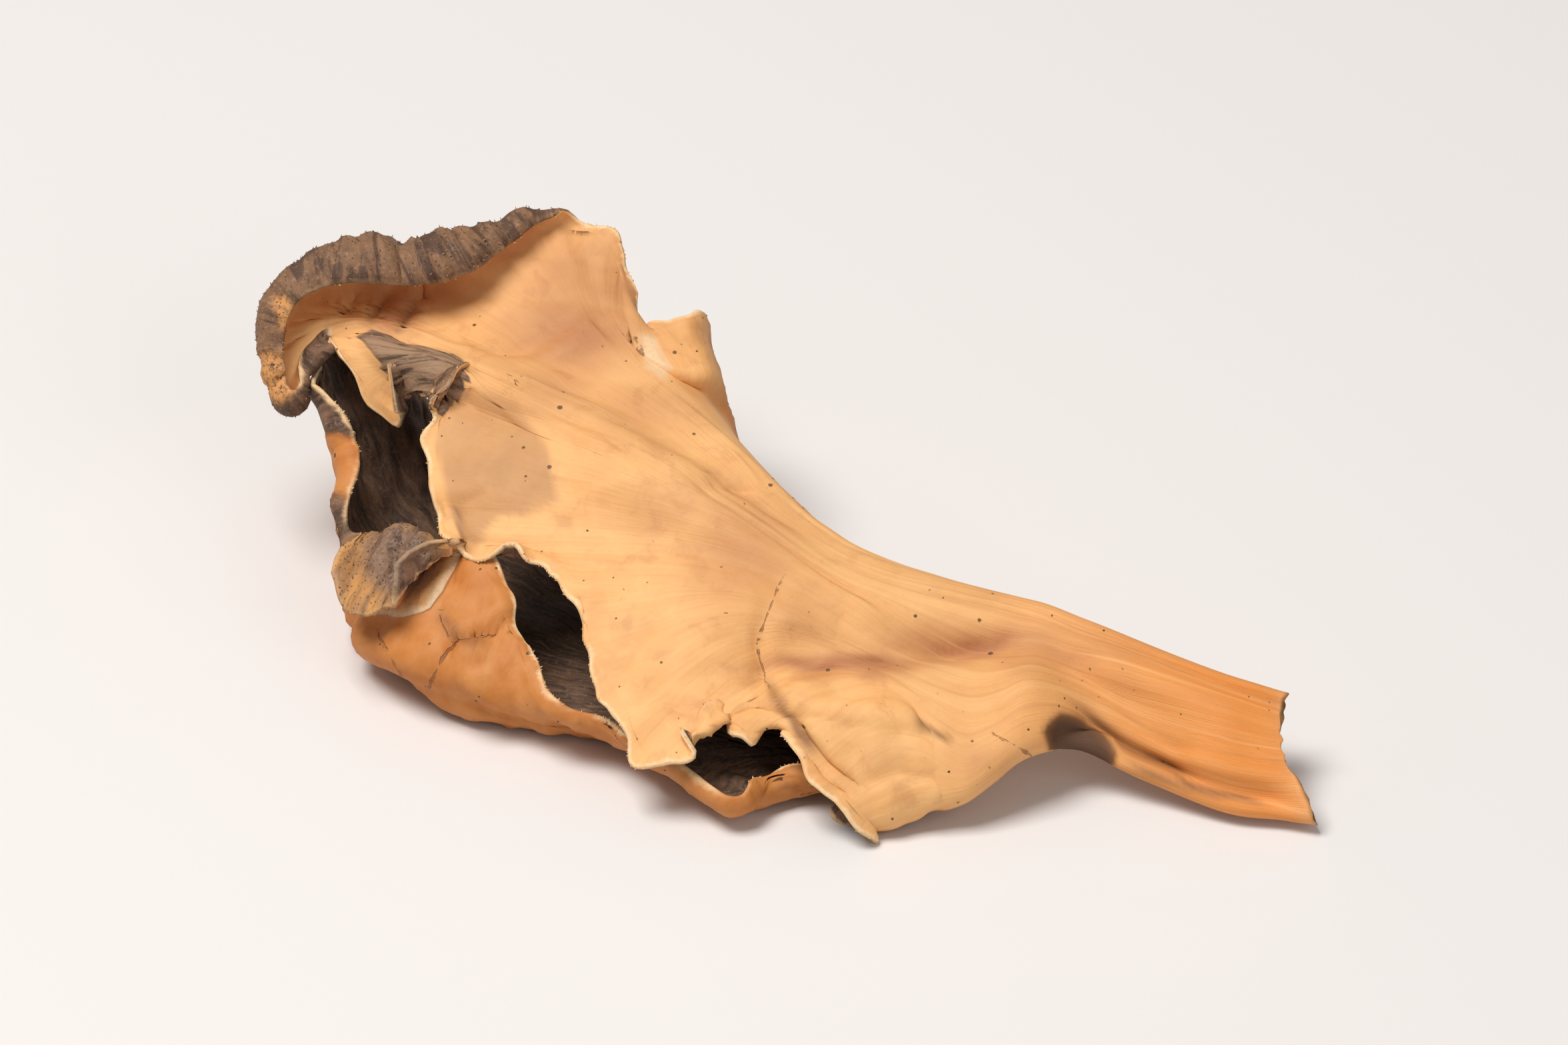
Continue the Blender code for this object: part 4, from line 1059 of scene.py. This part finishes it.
def dried_flesh():
    """Pale orange flesh outside, dark wrinkled skin inside, and a cream torn edge between them."""
    s = Shader("dried_flesh")
    read, fibre, place = s.read, s.read("fibre", "Vector"), s.place()

    def streak(by, *how):
        """Noise drawn out along the fibres."""
        return s.noise(s.drawn_out(fibre, by), *how)

    tip, stem, lower, rolled = read("tip"), read("stem"), read("lower"), read("rolled")
    cap_streak = streak(0.14, 2.2, 4.0)
    long_streak = cap_streak + stem * (streak(0.22, 9.0, 4.0) - cap_streak)
    fine_streak = streak(0.12, 0.34, 3.0)
    mottle = s.noise(place, 3.4, 4.0, 0.6, 0.4)
    grain = s.noise(place, 0.16, 3.0, 0.6)

    # the pale side
    blotch = s.noise(place, 5.2, 3.0, 0.5, 0.6).from_to(0.52, 0.70)
    fleshy = s.noise(place, 1.5, 4.0, 0.62, 0.5)
    stem_line = streak(0.12, 2.6, 4.0, 0.6)
    speck_far = s.cells(place, 1.25) + 0.06 * (s.noise(place, 0.12, 2.0) - 0.5)
    speck = 1 - (speck_far - 0.12 * s.cells(place, 1.25, "Color") ** 2.2).from_to(0.0, 0.025)
    dust = 1 - s.cells(place, 0.62).from_to(0.05, 0.12)
    dust = dust * s.noise(place, 2.4, 2.0).from_to(0.56, 0.66)
    thin = s.noise(place, 0.7, 2.0).from_to(0.35, 0.65)
    crack = 1 - (abs(read("crack")) - (0.015 + 0.075 * thin)).from_to(-0.02, 0.02)
    crack = crack * read("crack_near").from_to(0.25, 0.8) * s.noise(place, 0.45, 3.0).from_to(0.38, 0.50)
    pocket_shade = read("pocket_shade")
    pale = s.layered(
        PALE_DEEP,
        (PALE_LIGHT, (0.55 * long_streak + 0.45 * mottle).from_to(0.26, 0.66)),
        (PALE, 0.45),
        (PALE_DEEP, 0.35 * fine_streak.from_to(0.50, 0.74) * (1 - 0.5 * stem)),
        (PALE_BROWN, 0.22 * blotch),
        (RUDDY, 0.32 * fleshy.from_to(0.50, 0.72) * (1 - 0.6 * stem)),
        (PALE_LIGHT, 0.35 * (1 - fleshy.from_to(0.30, 0.47)) * (1 - 0.6 * stem)),
        (STEM_ORANGE, (tip * (0.45 + 0.9 * long_streak)).capped()),
        # ruddier patches, and painted shade along the neck's groove and over the cap's top
        (RUDDY, (read("blush_and_shade") * (0.35 + 1.2 * mottle)).capped()),
        # the under side browner: its own tan colour, and painted shade on the under side
        (TAN_AND_UNDER_SHADE, (lower * (0.25 + 0.6 * mottle + 0.6 * fleshy)).capped()),
        (PALE_BROWN, (read("browner_patch") * (0.22 + 0.9 * mottle)).capped()),
        (FRILL, 0.75 * read("scuff") * (0.4 + grain)),
        (RUDDY, 0.28 * stem * stem_line.from_to(0.52, 0.70)),
        (PALE_LIGHT, 0.35 * stem * (1 - stem_line.from_to(0.34, 0.47))),
        (PALE_BROWN, 0.12 * streak(0.05, 0.5, 2.0).from_to(0.60, 0.70)),
        (SPECK, 0.85 * speck),
        (PALE_BROWN, 0.6 * dust),
        # painted shade in the creases of the folds and grooves
        (SHADE_AND_CRACK_BROWN, 0.85 * (read("crease_shade") * (0.35 + 1.1 * mottle)).capped()),
        # painted shade: the pocket under the arch between the front lobe and the stem, brown and then near
        # black
        (SHADE_AND_CRACK_BROWN, pocket_shade.from_to(0.1, 0.6)),
        (DARK, 0.75 * pocket_shade.from_to(0.4, 1.0) * (0.7 + 0.5 * mottle)),
        (SHADE_AND_CRACK_BROWN, crack * (0.30 + 0.5 * thin)),
    )

    # the dark skin
    dark_layer, frilled = read("dark_layer"), read("frilled")
    ridges = streak(0.35, 0.7, 5.0, 0.62, 0.8)
    felt = s.noise(place, 0.22, 4.0, 0.65)
    scales = s.cells(s.drawn_out(fibre, 0.5), 0.5).from_to(0.15, 0.75)
    crosswise = streak(0.2, 0.75, 4.0, 0.6, 0.7)
    roll_skin = s.layered(
        ROLL_BROWN,
        # painted shade in the creases of the roll's cross wrinkles and between its scales
        (ROLL_DEEP, (0.35 * scales + 1.1 * crosswise.from_to(0.44, 0.62)).capped()),
        (DARK_LIGHT, 0.6 * felt.from_to(0.50, 0.72) * (1 - 0.7 * crosswise.from_to(0.42, 0.6))),
    )
    rosette = (read("rosette").from_to(0.05, 0.3) + frilled.from_to(0.3, 0.5)).capped()
    radial = streak(0.15, 0.45, 3.0).from_to(0.35, 0.62)
    frill = frilled.from_to(0.30, 0.45) * (1 - frilled.from_to(0.55, 0.95)) * (0.4 + felt)
    dark = s.layered(
        DARK,
        # painted shade and highlight: darkest in the hollows of the wrinkles, lighter on their crests
        (DARK_WARM, ridges.from_to(0.35, 0.62)),
        (DARK_LIGHT, (0.75 * felt.from_to(0.52, 0.78) + 0.35 * ridges.from_to(0.55, 0.75)).capped()),
        (roll_skin, 0.9 * rolled),
        # painted shade: the skin darker the farther it lies from the torn edge, deeper in the hollow
        (DARK, 0.25 * read("to_edge").from_to(1.5, 7.0)),
        (DARK_LIGHT, 0.75 * dark_layer * ridges.from_to(0.30, 0.60)),
        (RUST, 0.12 * s.noise(place, 2.6, 2.0).from_to(0.55, 0.72)),
        (PALE_DEEP, 0.85 * read("bare") * felt.from_to(0.30, 0.55)),
        (ROSETTE_GREY, 0.75 * rosette * felt.from_to(0.35, 0.65)),
        (ROSETTE_RIM, rosette * (0.35 + 0.65 * radial) * read("rosette_far").from_to(0.45, 0.95)),
        (FRILL, 0.75 * frill.capped()),
    )

    # the torn edge
    to_edge = read("to_edge") + 0.5 * (s.noise(fibre, 0.5, 3.0) - 0.5)
    torn = (1 - to_edge.from_to(0.0, 0.22)) * s.noise(fibre, 2.6, 2.0).from_to(0.30, 0.52)
    torn = (torn * (1 - 0.8 * rolled) + read("foot") * 0.35).capped()
    inside = read("inside").from_to(0.35, 0.65) * (1 - read("pale_fold")) + dark_layer.from_to(0.3, 0.7)
    inside = inside + frilled.from_to(0.25, 0.45)
    inside = (inside + (read("sooty") * (0.6 + 0.8 * felt)).from_to(0.35, 0.75)).capped()
    torn_colour = s.mixed(TORN, PALE, 0.55 * felt.from_to(0.40, 0.70))
    colour = s.layered(pale, (dark, inside), (torn_colour, 0.9 * torn))

    height = (1 - inside) * (0.030 * fine_streak + 0.012 * grain - 0.05 * crack + 0.02 * speck)
    height = height + inside * (0.085 * ridges + 0.05 * felt - 0.05 * rolled * scales) + 0.03 * torn * felt
    return s.finish(colour, 0.56 + 0.12 * mottle + 0.10 * inside, height, shine=0.35)


class Pattern(Nodes):
    """A Geometry Nodes tree that strews small shapes over a surface."""

    def __init__(self, name, sizes):
        super().__init__(bpy.data.node_groups.new(name, "GeometryNodeTree"))
        self.sizes = sizes
        sockets = self.tree.interface
        sockets.new_socket("Geometry", in_out="INPUT", socket_type="NodeSocketGeometry")
        sockets.new_socket("Geometry", in_out="OUTPUT", socket_type="NodeSocketGeometry")
        for label, value in sizes.items():
            kind = "NodeSocketInt" if isinstance(value, int) else "NodeSocketFloat"
            sockets.new_socket(label, in_out="INPUT", socket_type=kind)
        self.start = self.tree.nodes.new("NodeGroupInput")

    def given(self, label):
        return Wire(self, self.start.outputs[label])

    def named(self, label, kind="FLOAT"):
        return self.add("GeometryNodeInputNamedAttribute", {"data_type": kind}, {"Name": label})

    def summed(self, total, *vectors):
        for more in vectors:
            total = self.add("ShaderNodeVectorMath", {"operation": "ADD"}, [total, more])
        return total

    def drawn_vector(self, low, high, seed):
        sockets = {0: (low,) * 3, 1: (high,) * 3, "Seed": seed}
        return self.add("FunctionNodeRandomValue", {"data_type": "FLOAT_VECTOR"}, sockets, 0)

    def finish(self, geometry, material):
        whole = self.add("GeometryNodeRealizeInstances", {}, [geometry])
        done = self.add("GeometryNodeSetMaterial", {}, {"Geometry": whole, "Material": material})
        self.add("NodeGroupOutput", {}, [done])

    def strewn(self, name, over):
        """A new object with a plain mesh of what the tree makes over that object's surface."""
        seeds = placed(name + "_seeds", over.data.copy())
        modifier = seeds.modifiers.new(name, "NODES")
        modifier.node_group = self.tree
        for item in self.tree.interface.items_tree:
            if item.in_out == "INPUT" and item.name in self.sizes:
                modifier[item.identifier] = self.sizes[item.name]
        evaluated = seeds.evaluated_get(bpy.context.evaluated_depsgraph_get())
        mesh = bpy.data.meshes.new_from_object(evaluated)
        bpy.data.objects.remove(seeds)
        for label in [a.name for a in mesh.attributes if a.name in over.data.attributes.keys()]:
            if not mesh.attributes[label].is_required and not label.startswith("."):
                mesh.attributes.remove(mesh.attributes[label])
        mesh.name = name
        return placed(name, mesh)


def strand(p):
    """A thin tapered strand, bent over, that stands on its base."""
    sockets = {"Vertices": 4, "Side Segments": 3, "Radius Top": 0.00001, "Depth": p.given("Length")}
    sockets["Radius Bottom"] = p.given("Thickness")
    cone = p.add("GeometryNodeMeshCone", {}, sockets, "Mesh")
    height = p.add("ShaderNodeSeparateXYZ", {}, [p.add("GeometryNodeInputPosition", {}, {})], "Z")
    offset = p.add("ShaderNodeCombineXYZ", {}, {"X": height * height * p.given("Bend")})
    return p.add("GeometryNodeSetPosition", {}, {"Geometry": cone, "Offset": offset})


def grain(p):
    """A small flattened grain."""
    ball = p.add("GeometryNodeMeshIcoSphere", {}, {"Radius": p.given("Thickness"), "Subdivisions": 1}, "Mesh")
    return p.add("GeometryNodeTransform", {}, {"Geometry": ball, "Scale": (1.0, 0.8, 0.5)})


def strewing(name, shape, where, directions, material, sizes):
    """A tree that sets shapes over a surface where an attribute asks for them, turned the way that directions
    say: shares of the surface's own normal, of the way towards the torn edge, and of chance."""
    p = Pattern(name, sizes)
    seed = p.given("Seed")
    sockets = {"Mesh": Wire(p, p.start.outputs[0]), "Distance Min": p.given("Spacing"), "Seed": seed}
    sockets.update({"Density Max": p.given("Density"), "Density Factor": p.named(where)})
    points = p.add("GeometryNodeDistributePointsOnFaces", {"distribute_method": "POISSON"}, sockets, "Points")
    normal = Wire(p, points.socket.node.outputs["Normal"])
    upright, tipward, chance = directions
    way = p.summed(p.scaled(normal, upright), p.scaled(p.named("tipward", "FLOAT_VECTOR"), tipward),
                   p.drawn_vector(-chance, chance, seed))
    turned = p.add("FunctionNodeAlignRotationToVector", {"axis": "Z"}, {"Vector": way})
    twist = p.add("FunctionNodeRandomValue", {"data_type": "FLOAT"}, {2: 0.0, 3: 6.28, "Seed": seed}, 1)
    spin = p.add("FunctionNodeAxisAngleToRotation", {}, {"Axis": (0, 0, 1), "Angle": twist})
    turned = p.add("FunctionNodeRotateRotation", {"rotation_space": "LOCAL"}, [turned, spin])
    size = p.drawn_vector(0.45, 1.0, seed)
    sockets = {"Points": points, "Instance": shape(p), "Rotation": turned, "Scale": size}
    p.finish(p.add("GeometryNodeInstanceOnPoints", {}, sockets), material)
    return p


def speckled(name, light, deep, size, roughness):
    """A matte finish between two colours, for the pieces strewn over the mushroom."""
    s = Shader(name)
    share = s.noise(s.place(), size, 3.0)
    colour = s.mixed(light, deep, share.from_to(0.35, 0.65))
    return s.finish(colour, roughness + 0.1 * share, 0.01 * share, shine=0.3)


def floor():
    """A wide pale surface to lie on."""
    mesh = bpy.data.meshes.new("floor")
    corners = [(x * FLOOR_REACH, y * FLOOR_REACH, 0) for x, y in ((-1, -1), (1, -1), (1, 1), (-1, 1))]
    mesh.from_pydata(corners, [], [(0, 1, 2, 3)])
    mesh.materials.append(Shader("pale_floor").finish(FLOOR_COLOUR, FLOOR_ROUGHNESS))
    obj = placed("floor", mesh)


def camera():
    """A long lens that looks at the middle of the mushroom from the photograph's side."""
    data = bpy.data.cameras.new("camera")
    data.lens, data.sensor_width = LENS, SENSOR
    data.clip_start, data.clip_end = CLIPS
    obj = placed("camera", data)
    back = Vector((0, -math.cos(VIEW_ELEVATION), math.sin(VIEW_ELEVATION)))
    obj.location = Vector(LOOKS_AT) + back * (VIEW_WIDTH * LENS / SENSOR)
    obj.rotation_euler = (-back).to_track_quat("-Z", "Y").to_euler()
    bpy.context.scene.camera = obj


def lights():
    """A dim even sky and two soft lights."""
    world = bpy.data.worlds.new("studio")
    bpy.context.scene.world = world
    world.use_nodes = True
    background = world.node_tree.nodes["Background"]
    background.inputs["Color"].default_value = SKY_COLOUR
    background.inputs["Strength"].default_value = SKY
    for name, place, size, energy, colour in LIGHTS:
        data = bpy.data.lights.new(name, "AREA")
        data.size, data.energy, data.color = size, energy, colour
        obj = placed(name, data)
        obj.location = place
        obj.rotation_euler = (Vector(LOOKS_AT) - Vector(place)).to_track_quat("-Z", "Y").to_euler()
    bpy.context.scene.view_settings.view_transform = "Standard"


mushroom = placed("mushroom", mushroom_mesh(Sheet()))
mushroom.data.materials.append(dried_flesh())
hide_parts("dried_chanterelle")
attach(mushroom, "root")

STREWN = [  # (name, shape, where, directions, material, inputs: sizes in metres)
    ("torn_fibres", strand, "frayed", (0.15, 1.0, 0.7), speckled("fibre", FRILL, PALE_DEEP, 0.9, 0.6),
     {"Spacing": 0.00011, "Density": 3e7, "Length": 0.00013, "Thickness": 0.00006, "Bend": 1.5e3, "Seed": 3}),
    ("felt", strand, "hairy", (0.12, 0.3, 0.9), speckled("felt", DARK_LIGHT, ROLL_DEEP, 0.6, 0.8),
     {"Spacing": 0.00018, "Density": 2e7, "Length": 0.00014, "Thickness": 0.00004, "Bend": 1.5e3, "Seed": 5}),
    ("grit", grain, "gritty", (1.0, 0.0, 0.3), speckled("grit", PALE_BROWN, SPECK, 0.5, 0.7),
     {"Spacing": 0.0006, "Density": 2.6e5, "Thickness": 0.00009, "Seed": 9}),
]
for name, *rest, sizes in STREWN:
    piece = strewing(name, *rest, sizes).strewn(name, mushroom)
    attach(piece, "root")

floor()
camera()
lights()
